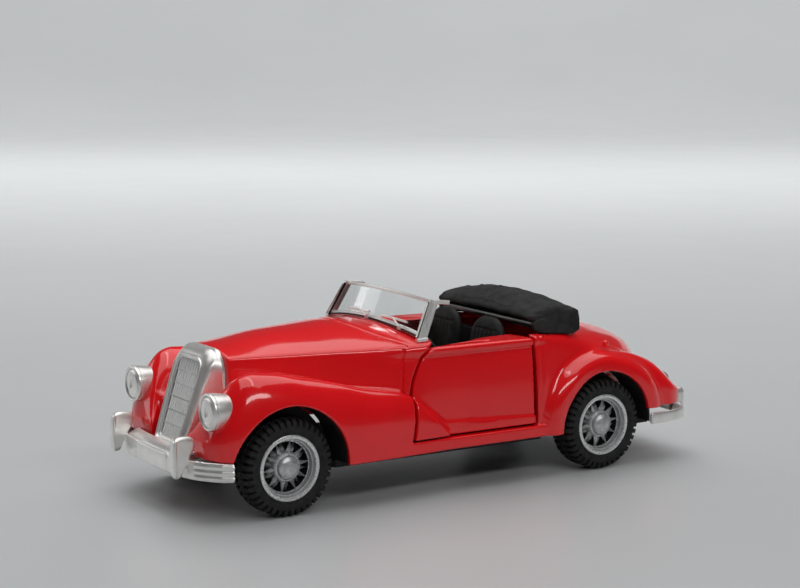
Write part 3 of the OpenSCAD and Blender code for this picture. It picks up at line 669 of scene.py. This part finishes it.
def tyre_mesh(place):
    """Tyre with a chunky block tread: 40 shoulder blocks a side and a split centre rib."""
    half = [(0.0, 10.06, 0.35), (0.9, 10.08, 0.35), (1.0, 9.75, 0.1), (1.25, 9.75, 0.1),
            (1.35, 10.1, 1), (2.0, 10.08, 1),
            (2.6, 9.98, 1), (3.05, 9.72, 1), (3.3, 9.35, 1), (3.42, 8.95, 0.75), (3.47, 8.62, 0.0),
            (3.5, 8.3, 0),
            (3.5, 7.9, 0), (3.42, 7.55, 0), (3.28, 7.3, 0), (3.34, 7.2, 0), (3.3, 7.05, 0),
            (3.12, 6.9, 0), (2.6, 6.8, 0)]
    profile = [(-a, r, w) for a, r, w in reversed(half[1:])] + half
    depth, count = 0.62, 40
    stations = [(0.0, 0), (0.3, 0), (0.58, 0), (0.64, 1), (0.8, 1), (0.94, 1)]
    points = []
    for tooth in range(count):
        for u, cut in stations:
            for a, r, w in profile:
                shift = 0.5 if a < 0 else 0.0
                t = 2 * pi * (tooth + u + shift) / count
                down = depth * cut * w
                side = copysign(down * 0.5, a) if abs(a) > 3 else 0.0
                points.append(place(a - side, (r - down) * cos(t), (r - down) * sin(t)))
    return points, ring_faces(len(profile), count * len(stations))


def spoke(parts, place, angle, path):
    """A pointed spoke with a ridge, in the rim's own paint. path has [radius, half width,
    height of the ridge, thickness] along its length."""
    rows = []
    for r, w, a, t in path:
        c, s = cos(angle), sin(angle)
        rows.append([place(a - t, r * c - w * s, r * s + w * c), place(a, r * c, r * s),
                     place(a - t, r * c + w * s, r * s - w * c)])
    points = [p for row in rows for p in row]
    faces = [(3 * i + j, 3 * i + (j + 1) % 3, 3 * i + 3 + (j + 1) % 3, 3 * i + 3 + j)
             for i in range(len(rows) - 1) for j in range(3)]
    last = 3 * (len(rows) - 1)
    faces += [(0, 2, 1), (last, last + 1, last + 2)]
    parts.add(points, faces, 1)


def make_wheel(end, side_name, y, body):
    tyre_node, rim_node = f"tyre_{end}_{side_name}", f"rim_{end}_{side_name}"
    side = side_of(rim_node)

    def place(a, u, v):
        return side * (WHEEL_X + a), y + u, WHEEL_Z + v

    points, faces = tyre_mesh(place)
    Parts().add(points, faces).make(f"tread_tyre_{end}_{side_name}", "tyre", body, "tyre_rubber",
                                    [tyre_node], 28)

    p = Parts()
    lip = [(2.3, 6.86), (3.0, 6.88), (3.2, 6.8), (3.3, 6.62), (3.3, 6.3), (3.22, 6.08), (3.0, 5.98)]
    p.add(*turned(lip, 96, place), 0)
    step = [(3.0, 5.98), (2.55, 5.9), (2.3, 5.8), (2.28, 5.62), (1.5, 5.5), (1.35, 5.42),
            (1.3, 5.2)]
    p.add(*turned(step, 96, place), 1)
    p.add(*turned([(1.3, 5.2), (0.2, 5.25), (-0.9, 5.1), (-1.0, 2.4)], 64, place), 2)
    p.add(*turned([(2.3, 6.86), (1.2, 6.6), (-2.4, 6.6), (-2.8, 6.5), (-2.8, 6.2), (-2.2, 6.1),
                   (-1.4, 2.0)], 64, place), 1)
    hub = [(-1.0, 3.5), (1.3, 3.25), (1.75, 3.05), (1.95, 2.95), (2.1, 2.8), (2.12, 2.62),
           (1.95, 2.5), (2.0, 2.4),
           (2.35, 2.36)]
    hub += [(2.35 + 1.1 * sin(radians(q)), 2.36 * cos(radians(q)))
            for q in range(12, 85, 12)]
    p.add(*turned(hub + [(3.45, 0.01)], 64, place), 1)
    for i in range(SPOKES):
        t = 2 * pi * i / SPOKES + 0.12
        spoke(p, place, t, [(2.7, 0.62, 1.95, 0.9), (3.6, 0.44, 1.95, 0.75), (4.7, 0.2, 1.75, 0.5),
                            (5.55, 0.05, 1.5, 0.25)])
        t += pi / SPOKES
        spoke(p, place, t, [(2.9, 0.7, 0.9, 0.9), (3.8, 0.6, 1.15, 0.8), (4.25, 0.42, 0.9, 0.7),
                            (5.2, 0.08, 0.2, 0.3)])
    p.make(f"spoked_rim_{end}_{side_name}", ["rim_edge", "rim", "recess"], body, "rim_silver",
           [rim_node], 38)


def make_wheels():
    for end, y, body in (("front", FRONT_Y, "front_wheels"), ("rear", REAR_Y, "rear_wheels")):
        for side_name in ("left", "right"):
            make_wheel(end, side_name, y, body)


# ---- bright work

PLATED = {"material": "plating", "body": "body", "slot": "satin_plating"}
GRILLE_FOOT_Y, GRILLE_FOOT_Z = -59.4, 12.2
FRONT_BLADE_Z, FRONT_BLADE_HALF = 10.6, 1.95
REAR_BLADE_Z, REAR_BLADE_HALF = 10.25, 1.35
FRONT_OVERRIDER_X, REAR_OVERRIDER_X = 14.5, 17.4
OVERRIDER_Y = -62.4
HEADLAMP_X, HEADLAMP_Y, HEADLAMP_Z = 17.6, -54.6, 22.4
TAIL_LAMP_FOOT, TAIL_LAMP_AXIS = Vector((15.78, 57.54, 15.73)), Vector((0.185, 0.743, 0.643))
GRILLE_RAKE = atan(6.9 / 20.8)


def make_grille():
    """Plated shell with a bright lip, a smooth margin and six rows of fine upright bars."""
    g = Grid((0, -60.2, 11.4), (10.9, -48.6, 34.8), 0.14)
    cr, sr = cos(GRILLE_RAKE), sin(GRILLE_RAKE)
    dy, dz = g.y - GRILLE_FOOT_Y, g.z - GRILLE_FOOT_Z
    v = dy * sr + dz * cr          # up the face
    w = -dy * cr + dz * sr         # outwards from the face
    back = np.clip((-w) / 8.0, 0, 1)
    rows = np.clip(v / 21.9, 0, 1)
    half = (6.2 + 1.4 * rows) + back * (1.2 + 1.3 * rows)
    top = 21.2 + 0.55 * np.clip(-w, 0, 1.6)
    r = 4.3
    corner = np.hypot(np.maximum(g.ax - half + r, 0), np.maximum(v - top + r, 0)) - r
    body = np.where((g.ax < half - r) & (v < top - r), np.maximum(g.ax - half, v - top), corner)
    body = smax(body, -v - 0.05, 0.8)
    # the shell rolls back from the face, most at the crown
    roll = 1.15 + 0.75 * np.clip((v - 13.0) / 7.0, 0, 1) ** 2
    rolled = np.hypot(np.maximum(body + roll, 0), np.maximum(w + roll, 0)) - roll
    f = np.where((body > -roll) & (w > -roll), rolled, np.maximum(body, w))
    f = smax(f, g.y + 49.0, 0.2)
    f = f - 0.3 * bulge(g.y + 49.7, 0.6)
    # thin raised lip, then a smooth margin below it and the pocket for the bars
    lip = body + roll
    f = f - 0.3 * bulge(lip, 0.36)
    f = smax(f, -np.maximum(lip + 0.32, -0.3 - w), 0.14)
    f = smax(f, -np.maximum(lip + 0.95, -1.45 - w), 0.3)
    field_mesh("grille_surround", g, f, 0, nodes=["grille_shell"], **PLATED)

    def at(u, vv, ww):
        return u, GRILLE_FOOT_Y + vv * sr - ww * cr, GRILLE_FOOT_Z + vv * cr + ww * sr

    p = Parts()

    def slab(outline, foot, face, key=0):
        p.block([at(x, vv, ww) for ww in (foot, face) for x, vv in outline], key)

    n_rows, count, low, high = 6, 9, 1.9, 18.9
    bar_foot, bar_shoulder, bar_ridge, rail_face = -0.95, -0.5, -0.36, -0.56
    pitch = (high - low) / n_rows
    # back plate in the near-black recess material: painted shade in the gaps between the bars
    slab([(-4.6, 1.4), (4.6, 1.4), (5.4, 20.0), (-5.4, 20.0)], -1.3, bar_foot, 1)
    for k in range(n_rows):
        v0, v1 = low + k * pitch + 0.16, low + (k + 1) * pitch - 0.16
        wide = 3.85 + 1.15 * (k + 0.5) / n_rows
        for i in range(count):
            x = -wide + 2 * wide * (i + 0.5) / count
            bw = wide / count * 0.5
            ring = [(-bw, bar_foot), (-bw * 0.8, bar_shoulder), (0, bar_ridge),
                    (bw * 0.8, bar_shoulder), (bw, bar_foot)]
            p.block([at(x + u, vv, ww) for vv in (v0, v1) for u, ww in ring])
        for vv in (v0 - 0.26, v1 + 0.02):
            slab([(-wide - 0.2, vv), (wide + 0.2, vv), (wide + 0.2, vv + 0.24),
                  (-wide - 0.2, vv + 0.24)], bar_foot, rail_face)
    p.make("grille_bars", ["bars", "recess"], "body", "satin_plating", ["grille_insert"], 30)


def make_headlamps():
    """Plated drum with an opaque ribbed lens, both in the one plated material."""
    for name in ("left", "right"):
        node = f"headlamp_{name}"
        side = side_of(node)

        def place(a, u, v):
            return side * HEADLAMP_X + u, HEADLAMP_Y - a, HEADLAMP_Z + v

        p = Parts()
        p.add(*turned([(-1.5, 3.1), (-0.4, 3.3), (0.8, 3.5), (2.0, 3.66), (2.8, 3.74), (3.0, 3.74),
                       (3.08, 3.66), (3.16, 3.66),
                       (3.24, 3.8), (3.5, 3.84), (3.78, 3.8), (3.94, 3.66), (4.0, 3.48),
                       (3.92, 3.34), (3.74, 3.2)], 72,
                      place), 0)
        lens = []
        for r in (3.14, 3.0, 2.75, 2.6, 2.5, 2.38, 2.2, 1.9, 1.6, 1.35, 1.2, 1.05, 0.8, 0.4, 0.02):
            a = 3.72 + 0.42 * (1 - (r / 3.2) ** 2)
            a += 0.14 * exp(-((r - 2.55) / 0.13) ** 2)
            lens.append((r, a))
        points = []
        steps = 64
        for k in range(steps):
            t = 2 * pi * k / steps
            for r, a in lens:
                u, v = r * cos(t), r * sin(t)
                oval = sqrt((u / 0.72) ** 2 + (v / 1.15) ** 2)
                dish, rim = exp(-oval ** 4), exp(-((oval - 1.15) / 0.22) ** 2)
                a2 = a - 0.34 * dish + 0.07 * rim
                points.append(place(a2, u, v))
        p.add(points, ring_faces(len(lens), steps))
        p.make(f"headlamp_bowl_{name}", nodes=[node], sharp=40, **PLATED)


def make_tail_lamps():
    """Red domed lens in a plated ring, square to the wing's surface."""
    for name in ("left", "right"):
        node = f"tail_lamp_{name}"
        side = side_of(node)
        axis = TAIL_LAMP_AXIS.normalized()
        across = axis.cross(Vector((0, 0, 1))).normalized()
        up = across.cross(axis)

        def place(a, u, v):
            q = TAIL_LAMP_FOOT + axis * a + across * u + up * v
            return side * q.x, q.y, q.z

        p = Parts()
        p.add(*turned([(2.0, 1.7), (3.35, 1.72), (3.55, 1.62), (3.62, 1.46), (3.5, 1.34)], 40,
                      place), 0)
        p.add(*turned([(3.5, 1.34), (3.7, 1.22), (3.95, 0.95), (4.1, 0.55), (4.15, 0.02)], 40,
                      place), 1)
        p.make(f"tail_lens_{name}", ["plating", "lens"], "body", "red_lens", [node], 40)


def bumper_arm(g, y, z, half_y, half_z):
    """The pair of arms that carries a bumper."""
    across = smax(np.abs(g.ax - ARM_X) - 0.8, np.abs(g.z - z) - half_z, 0.2)
    return smax(across, np.abs(g.y - y) - half_y, 0.2)


def make_front_bumper():
    front = [(0, -62.15), (6, -62.05), (12, -61.65), (15.8, -60.65), (18.7, -59.05), (21.0, -56.95),
             (22.3, -54.9)]
    g = Grid((0, -65.6, 8.2), (24.2, -54.3, 18.8), 0.15)
    curve = pchip(front[:5])
    fine = [(x, float(curve(x))) for x in np.linspace(0, 18.7, 16)] + front[5:]
    plan = g.in_plan(path_field, [(-1.0, fine[0][1])] + fine)
    end = np.clip((g.ax - 16.2) / 0.8, 0, 1)
    up = g.z - FRONT_BLADE_Z
    crown = 0.22 * np.sqrt(np.clip(1 - (up / FRONT_BLADE_HALF) ** 2, 0, 1))
    steps = 0.24 * (0.5 + 0.5 * np.cos(up * 2 * pi / 1.16))
    half = 0.34 + crown * (1 - end) + end * steps
    f = smax(plan - half, np.abs(up) - FRONT_BLADE_HALF, 0.4)
    f = smax(f, g.y + 54.95, 0.3)
    # two rivet heads behind each overrider, and a joint mark on the blade
    for x, y in ((16.5, -60.35), (17.6, -59.75)):
        f = smin(f, np.sqrt((g.ax - x) ** 2 + (g.y - y) ** 2 + (g.z - 12.2) ** 2) - 0.42, 0.15)
    mark = np.abs(g.ax - 7.2 - 0.14 * np.sin(g.z * 4.5))
    f = grooved(f, np.where(g.y < -60, mark, 9.0), 0.2, 0.12)
    # overrider: an upright fin with a raised front edge
    ax = np.abs(g.ax - FRONT_OVERRIDER_X)
    side = rounded([(OVERRIDER_Y + y, z) for y, z in (
        (-2.5, 9.0), (-0.6, 8.9), (0.2, 10.8), (1.6, 13.2), (2.7, 15.2), (2.5, 16.8), (1.0, 17.4),
        (-1.5, 17.4), (-2.5, 16.0))], 2)
    fin = g.in_side(polygon_field, side)
    o = smax(ax - 0.78, fin, 0.8)
    edge = smax(ax - 1.0, smax(fin, g.y - OVERRIDER_Y + 1.75, 0.2), 0.3)
    f = smin(f, smin(o, edge, 0.1), 0.25)
    f = smin(f, bumper_arm(g, -56, 10.9, 5.8, 0.9), 0.2)
    field_mesh("front_bumper_bar", g, f, 0, nodes=["front_bumper"], **PLATED)
    # the plated top that turns back from the blade's upper edge
    p = Parts()
    turn_back = [(0.1, -0.2), (-0.3, 0.5), (-1.5, 1.15), (-2.5, 1.3), (-2.5, 1.0), (-1.3, 0.8),
                 (-0.6, 0.2), (-0.4, -0.3)]
    rail = [(x, y, 12.35) for x, y in [(-q, w) for q, w in reversed(fine[1:12])] + fine[:12]]
    sweep(p, rail, [(-a, b) for a, b in turn_back], (0, 1, 0))
    p.make("front_bumper_top", nodes=["front_bumper"], sharp=50, **PLATED)


def make_rear_bumper():
    rear = [(0, 64.35), (9, 64.3), (15.5, 64.0), (19, 63.1), (21.6, 60.9), (23.0, 57.4),
            (23.6, 50.7)]
    g = Grid((0, 49.8, 8.4), (24.7, 65.5, 16.6), 0.16)
    t = np.linspace(0, 1, len(rear))
    along, back = (pchip(list(zip(t, values))) for values in zip(*rear))
    smooth = [(float(along(q)), float(back(q))) for q in np.linspace(0, 1, 34)]
    plan = g.in_plan(path_field, [(-1.0, rear[0][1])] + smooth)
    up = g.z - REAR_BLADE_Z
    half = 0.24 + 0.26 * np.sqrt(np.clip(1 - (up / REAR_BLADE_HALF) ** 2, 0, 1))
    f = smax(plan - half, np.abs(up) - REAR_BLADE_HALF, 0.5)
    ax = g.ax - REAR_OVERRIDER_X
    width = g.along(pchip([(8.6, 0.2), (10, 0.7), (12, 0.95), (14, 0.9), (15.2, 0.3),
                           (15.6, -0.4)]), 2)
    o = smax(np.abs(ax) - width, g.y - 64.85, 0.9)
    o = smax(o, 61.6 - g.y + (g.z - 12) * 0.2, 0.6)
    o = smax(o, g.z - 15.3, 0.8)
    o = smax(o, 8.7 - g.z, 0.6)
    f = smin(f, o, 0.3)
    f = smin(f, bumper_arm(g, 60, 10.4, 3.9, 0.8), 0.2)
    field_mesh("rear_bumper_bar", g, f, 0, nodes=["rear_bumper"], **PLATED)


# ---- windscreen

def sweep(parts, path, profile, side, key=0):
    """A bar of one profile along a path, side being the profile's first direction."""
    path = [np.array(q, float) for q in path]
    side = np.array(side, float)
    points = []
    for i, q in enumerate(path):
        along = path[min(i + 1, len(path) - 1)] - path[max(i - 1, 0)]
        along /= np.linalg.norm(along)
        s = side - along * np.dot(side, along)
        s /= np.linalg.norm(s)
        up = np.cross(along, s)
        points += [q + s * a + up * b for a, b in profile]
    n, m = len(profile), len(path)
    faces = [(j * n + i, j * n + (i + 1) % n, (j + 1) * n + (i + 1) % n, (j + 1) * n + i)
             for j in range(m - 1) for i in range(n)]
    parts.add(points, faces + [tuple(range(n))[::-1], tuple(range((m - 1) * n, m * n))], key)


def ring_profile(rx, ry, n=10):
    return [(rx * cos(2 * pi * k / n), ry * sin(2 * pi * k / n))
            for k in range(n)]


def pill(w, h):
    """Rectangle with cut corners, w by h, as a profile."""
    return rounded([(-w / 2, -h / 2), (0, -h / 2), (w / 2, -h / 2), (w / 2, 0), (w / 2, h / 2),
                    (0, h / 2), (-w / 2, h / 2),
                    (-w / 2, 0)], 1)


def screen_point(u, v, out=0.0):
    """Point of the bowed screen, moved forwards by out.

    u runs from -1 to 1 across the car, and v from 0 to 1 upwards."""
    bow = 1 - u * u
    low, high = 33.15 + 1.95 * bow, 40.3 + 0.9 * bow
    return np.array([u * (18.9 - 1.4 * v), -8.5 + 3.8 * v - 1.5 * bow - out * 0.88,
                     low + (high - low) * v + out * 0.47])


def make_windscreen():
    p = Parts()
    us = np.linspace(-1, 1, 41)
    across, back = (0, 0.88, -0.47), (0, 1, 0)
    sweep(p, [screen_point(u, 0.0) for u in us], pill(0.75, 0.8), across)
    sweep(p, [screen_point(u, 0.075, 0.1) for u in us * 0.98], ring_profile(0.22, 0.22), across)
    sweep(p, [screen_point(u, -0.02, 0.5) for u in us], ring_profile(0.2, 0.2), across, 1)
    sweep(p, [screen_point(u, 1.0) for u in us], pill(0.6, 0.5), across)
    sweep(p, [screen_point(u, 0.955, 0.12) for u in us * 0.99], ring_profile(0.13, 0.13), across)
    ridges = [(-0.95, 0.28), (-0.95, -0.12), (-0.78, -0.4), (-0.48, -0.42), (-0.2, -0.16),
              (0.2, -0.16), (0.48, -0.42),
              (0.78, -0.4), (0.95, -0.12), (0.95, 0.28)]
    for s in (1, -1):
        post = [(s * x, y, z) for x, y, z in ((18.95, -8.75, 32.6), (18.9, -8.5, 33.1),
                                              (17.5, -4.75, 40.5))]
        sweep(p, post, [(a, s * b) for a, b in ridges], back)
        rail = [(s * x, y - 1.5, z + 0.25) for x, y,
                z in ((18.7, -8.45, 33.2), (17.35, -4.85, 40.0))]
        sweep(p, rail, ring_profile(0.2, 0.22), back)
        strip = [(s * x, y - 0.95, z + 0.15) for x, y,
                 z in ((18.6, -8.45, 33.0), (17.25, -4.85, 40.2))]
        sweep(p, strip, pill(0.5, 0.22), back, 1)
        foot = [(s * x, y, z) for x, y, z in ((18.9, -10.0, 32.75), (18.95, -7.5, 32.9))]
        sweep(p, foot, pill(1.1, 0.75), (1, 0, 0))
        tab = [(s * x, y, z) for x, y, z in ((17.5, -5.4, 40.35), (17.35, -3.0, 40.2),
                                             (17.25, -0.9, 39.95))]
        sweep(p, tab, pill(0.8, 0.9), (1, 0, 0))
    p.make("screen_surround", ["plating", "black"], "body", "satin_plating", ["windscreen_frame"],
           40)

    glass = Parts()
    us, vs = np.linspace(-0.97, 0.97, 41), np.linspace(0.03, 0.97, 9)
    n, m = len(us), len(vs)
    points = [screen_point(u, v, out) for out in (0.16, -0.16) for u in us for v in vs]
    faces = []
    for i in range(n - 1):
        for j in range(m - 1):
            a, b, c, d = i * m + j, i * m + j + 1, (i + 1) * m + j + 1, (i + 1) * m + j
            faces += [(a, b, c, d), tuple(n * m + k for k in (d, c, b, a))]
    edge = [j for j in range(m)] + [i * m + m - 1 for i in range(1, n)]
    edge += [(n - 1) * m + j for j in range(m - 2, -1, -1)] + [i * m for i in range(n - 2, 0, -1)]
    faces += [(a, b, n * m + b, n * m + a) for a, b in zip(edge, edge[1:] + edge[:1])]
    glass.add(points, faces)
    glass.make("screen_pane", "clear", "body", "clear_screen", ["windscreen_glass"], 50)

    w = Parts()
    for u0, v0, u1, v1, foot_u in ((0.72, 0.22, 0.24, 0.16, 0.66), (-0.02, 0.17, -0.52, 0.2, 0.02)):
        blade = [screen_point(u0 + (u1 - u0) * q, v0 + (v1 - v0) * q, 0.52)
                 for q in np.linspace(0, 1, 9)]
        sweep(w, blade, pill(0.42, 0.5), across)
        middle = screen_point((u0 + u1) / 2, (v0 + v1) / 2, 0.8)
        pivot = screen_point(foot_u, 0.0, 1.1)
        sweep(w, [pivot + (0, 0, 0.1), (pivot + middle) / 2 + (0, -0.1, 0.25), middle],
              pill(0.4, 0.25), across)
        sweep(w, [pivot + (0, 0, -0.5), pivot + (0, 0, 0.3)], ring_profile(0.45, 0.45), (1, 0, 0))
    w.make("wiper_pair", nodes=["wipers"], **PLATED)


# ---- folded top and seats

def slices(g, outline_at):
    """Field of a form whose outline, along and up, changes across the car."""
    y2, z2 = g.axes[1][:, None], g.axes[2][None, :]
    return np.stack([polygon_field(outline_at(float(x)), y2, z2)
                     for x in g.axes[0]]).astype(np.float32)


def top_outline(x):
    u = abs(x) / 18.9
    bow = 1 - u * u
    return rounded([(23.8, 34.1 + 0.3 * bow), (20.4, 34.0 + 0.45 * bow), (19.8, 34.9 + 0.4 * bow),
                    (20.6, 36.1 + 0.6 * bow),
                    (24.2, 36.6 + 2.1 * bow), (27.8, 37.0 + 2.2 * bow), (31.6, 36.6 + 1.6 * bow),
                    (33.4, 35.4 + 0.5 * bow),
                    (33.3, 30.4 + 1.8 * bow), (28.6, 31.0 + 1.5 * bow), (24.2, 32.0 + 1.6 * bow)],
                   2)


def make_soft_top():
    g = Grid((0, 18.6, 29.6), (20.2, 34.6, 40.4), 0.2)
    f = slices(g, top_outline)
    f = smax(f, g.ax - 18.5, 1.6)
    # soft folds in the vinyl
    f = f + 0.07 * np.sin(0.55 * g.x + 0.9 * np.sin(0.35 * g.y)) + 0.05 * np.sin(1.3 * g.x - 0.5
                                                                                 * g.z)
    front = g.z - (35.75 + 0.5 * (1 - (g.ax / 18.9) ** 2))
    f = f + 0.16 * bulge(front - 0.12 * np.sin(0.7 * g.x), 0.55) * (g.y < 23)
    crease = g.in_side(path_field, [(21.5, 36.9), (26.5, 38.1), (31.5, 37.4)])
    f = f + 0.10 * bulge(crease, 0.9) * (g.ax > 3) * (g.ax < 17)
    # flap folded down at each end
    flap = g.in_side(polygon_field, rounded([
        (20.3, 34.4), (24.8, 34.9), (29.4, 36.3), (32.9, 36.4), (33.4, 34.0), (33.3, 30.6),
        (27.0, 31.0), (20.9, 31.5)], 1))
    lean = g.ax - 18.2 + 0.06 * (g.z - 33)
    flap = smax(flap, np.abs(lean) - 0.62, 0.45)
    f = smin(f, flap, 0.2)
    # rivet heads of the hoops along the ridge
    for x in (3.6, 11.0, 16.6):
        z = 36.55 + 2.15 * (1 - (x / 18.9) ** 2)
        f = smin(f, np.sqrt((g.ax - x) ** 2 + ((g.y - 27.5) / 1.3) ** 2 + (g.z - z) ** 2) - 0.5,
                 0.3)
    field_mesh("folded_top", g, f, 0, material="vinyl", body="body", slot="soft_top_vinyl",
               nodes=["soft_top"])
    # the layer below shows as a glossy strip under the overhang
    g = Grid((0, 19.6, 31.6), (18.9, 25.6, 35.0), 0.16)
    f = slices(g, lambda x: rounded([(21.3, 32.5 - 0.3 * (x / 18) ** 2), (20.9, 33.2), (21.4, 34.3),
                                     (25, 34.3),
                                     (25, 33.0 - (x / 18) ** 2)], 2))
    f = smax(f, g.ax - 17.9, 0.6)
    f = f + 0.04 * np.sin(1.1 * g.x)
    field_mesh("lower_fold", g, f, 0, material="fold", body="body", slot="soft_top_vinyl",
               nodes=["soft_top"])


SEAT_X = 8.4


def make_seats():
    """A high round-topped back with sewn pleats, and a crowned cushion."""
    for name in ("left", "right"):
        node = f"seat_{name}"
        g = Grid((1.6, 1.4, 16.8), (15.6, 19.6, 35.2), 0.2)
        x = g.x - SEAT_X
        lean = g.y - (14.0 + (g.z - 18.8) * 0.145)
        thick = 1.75 - 0.5 * np.clip((g.z - 20) / 14, 0, 1)
        r = 4.6
        outline = np.where((np.abs(x) > 5.9 - r) & (g.z > 34.5 - r),
                           np.hypot(np.abs(x) - 5.9 + r, g.z - 34.5 + r) - r,
                           np.maximum(np.abs(x) - 5.9, g.z - 34.5))
        back = smax(smax(np.abs(lean) - thick, outline, 2.2), 17.7 - g.z, 0.8)
        pleat = np.abs((x / 1.5 + 0.5) % 1.0 - 0.5) * 1.5
        seam = np.clip(1 - np.abs(x) / 4.4, 0, 1) > 0
        back = back + 0.13 * bulge(pleat, 0.32) * seam * (g.z < 31.6) * (lean < 0)
        back = back + 0.12 * bulge(np.minimum(np.abs(g.z - 31.7), 9),
                                   0.3) * (np.abs(x) < 4.5) * (lean < 0)
        cushion = smax(np.abs(x) - 6.2, np.abs(g.y - 7.2) - 5.0, 2.4)
        cushion = smax(cushion, np.abs(g.z - 19.6) - 2.3 + 0.02 * x * x, 1.6)
        cushion = cushion + 0.13 * bulge(pleat, 0.32) * seam * (g.y < 11) * (g.y > 3.6)
        f = smin(back, cushion, 0.5)
        field_mesh(f"moulded_seat_{name}", g, f, side_of(node), material="seat", body="body",
                   slot="seat_plastic", nodes=[node])


def make_dashboard():
    """A rolled panel with two glovebox lids, and two gauges between them."""
    g = Grid((0, -12.8, 26.8), (16.8, -4.2, 31.2), 0.2)
    f = g.in_side(polygon_field, rounded([
        (-12.5, 27.1), (-5.0, 27.1), (-4.6, 29.6), (-5.6, 30.9), (-8.5, 30.8), (-12.5, 30.6)], 1))
    f = smax(f + np.zeros_like(g.x), g.ax - 16.4, 0.8)
    lid = np.maximum(np.abs(g.ax - 8.4) - 3.4, np.abs(g.z - 28.9) - 0.9)
    f = f + 0.18 * bulge(lid, 0.22) * (g.y > -6.5)
    field_mesh("dash_panel", g, f, 0, material="black", body="body", slot="black_plastic",
               nodes=["dashboard"])
    p = Parts()
    for x in (-1.3, 1.3):
        def place(a, u, v, x=x):
            return x + u, -4.9 + a, 28.9 + v

        p.add(*turned([(-0.3, 1.0), (0.15, 1.0), (0.22, 0.92), (0.2, 0.8), (0.05, 0.75)], 32,
                      place), 0)
        p.add(*turned([(0.05, 0.75), (0.08, 0.3), (0.16, 0.12), (0.16, 0.01)], 32, place), 1)
    p.make("dash_gauges", ["plating", "recess"], "body", "black_plastic", ["dashboard"], 40)


make_body()
make_wheel_wells()
make_wheels()
make_grille()
make_headlamps()
make_tail_lamps()
make_front_bumper()
make_rear_bumper()
make_windscreen()
make_soft_top()
make_seats()
make_dashboard()


# ---- finishes of the CAD nodes that stay

FINISH = {
    "chassis_base": "black", "interior_tub": "black", "steering_wheel": "black",
    "base_screws": "steel", "front_axle": "steel", "rear_axle": "steel",
    "motor_case_lower": "motor", "motor_case_upper": "motor", "axle_pinion": "brass",
    "spring_drum": "nylon", "spring_arbor": "steel", "mainspring": "spring",
}
for node, key in FINISH.items():
    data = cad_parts[node].data
    data.materials.clear()
    data.materials.append(MAT[key])


# ---- floor, light and camera

def make_stage():
    """A round pale floor that turns up softly at its rim."""
    mesh = bpy.data.meshes.new("studio_floor")
    profile = [(0.02, 0.0), (0.6, 0.0), (1.2, 0.0)]
    profile += [(1.2 + sin(radians(a)), 1.0 - cos(radians(a)))
                for a in range(5, 46, 5)]
    steps = 96
    points = [(r * cos(t), r * sin(t), z)
              for t in (2 * pi * k / steps for k in range(steps)) for r, z in profile]
    middle = tuple(k * len(profile) for k in range(steps))
    mesh.from_pydata(points, [], ring_faces(len(profile), steps) + [middle])
    mesh.polygons.foreach_set("use_smooth", np.ones(len(mesh.polygons), bool))
    mesh.materials.append(surface(
        "studio_floor_paint", (0.004, (0.52, 0.535, 0.54), (0.54, 0.555, 0.56)),
        (0.02, 0.3, 0.36), Specular_IOR_Level=0.35))
    floor = bpy.data.objects.new("studio_floor", mesh)
    scene.collection.objects.link(floor)


def area_light(name, place, target, size, power):
    data = bpy.data.lights.new(name, "AREA")
    data.shape = "RECTANGLE"
    data.size, data.size_y = size
    data.energy = power
    obj = bpy.data.objects.new(name, data)
    obj.location = place
    obj.rotation_euler = (Vector(target) - Vector(place)).to_track_quat("-Z", "Y").to_euler()
    scene.collection.objects.link(obj)
    return obj


def make_light():
    """Soft light from above and the side. The two far lights only brighten the floor and
    stay out of reflections, where they would streak the paint."""
    world = bpy.data.worlds.new("studio")
    scene.world = world
    world.use_nodes = True
    sky = world.node_tree.nodes["Background"].inputs
    sky["Color"].default_value = (0.93, 0.96, 1.0, 1)
    sky["Strength"].default_value = 0.055
    area_light("overhead_softbox", (-0.10, 0.06, 0.85), (0, 0, 0), (1.2, 1.1), 5.9)
    area_light("overhead_strip", (-0.02, 0.0, 0.84), (0, 0, 0), (0.07, 0.8), 0.6)
    area_light("side_strip", (0.95, -0.05, 0.78), (0, 0, 0.02), (1.1, 0.16), 3.4)
    area_light("front_card", (-0.85, -0.60, 0.34), (0, -0.05, 0.02), (0.7, 0.3), 0.9)
    for far in (area_light("horizon_softbox", (-0.66, 0.42, 0.40), (-0.62, 0.395, 0.0), (2.0, 0.15),
                           4.5),
                area_light("backdrop_light", (-1.0, 0.68, 1.2), (-1.60, 1.02, 0.0), (2.4, 0.4),
                           19.0)):
        far.visible_glossy = False


def make_camera():
    """A camera that looks along the photograph's azimuth and elevation, with a slight roll."""
    azimuth, elevation, roll = (radians(a) for a in (57.46, 8.34, 0.27))
    data = bpy.data.cameras.new("photo_camera")
    data.lens = 86.30
    data.sensor_width = 36.0
    data.clip_start, data.clip_end = 0.01, 20.0
    cam = bpy.data.objects.new("photo_camera", data)
    turn = (Matrix.Rotation(azimuth, 4, "Z") @ Matrix.Rotation(pi / 2 - elevation, 4, "X")
            @ Matrix.Rotation(roll, 4, "Z"))
    cam.matrix_world = Matrix.Translation((0.3515, -0.2264, 0.1008)) @ turn
    scene.collection.objects.link(cam)
    scene.camera = cam


make_stage()
make_light()
make_camera()
scene.view_settings.view_transform = "Standard"
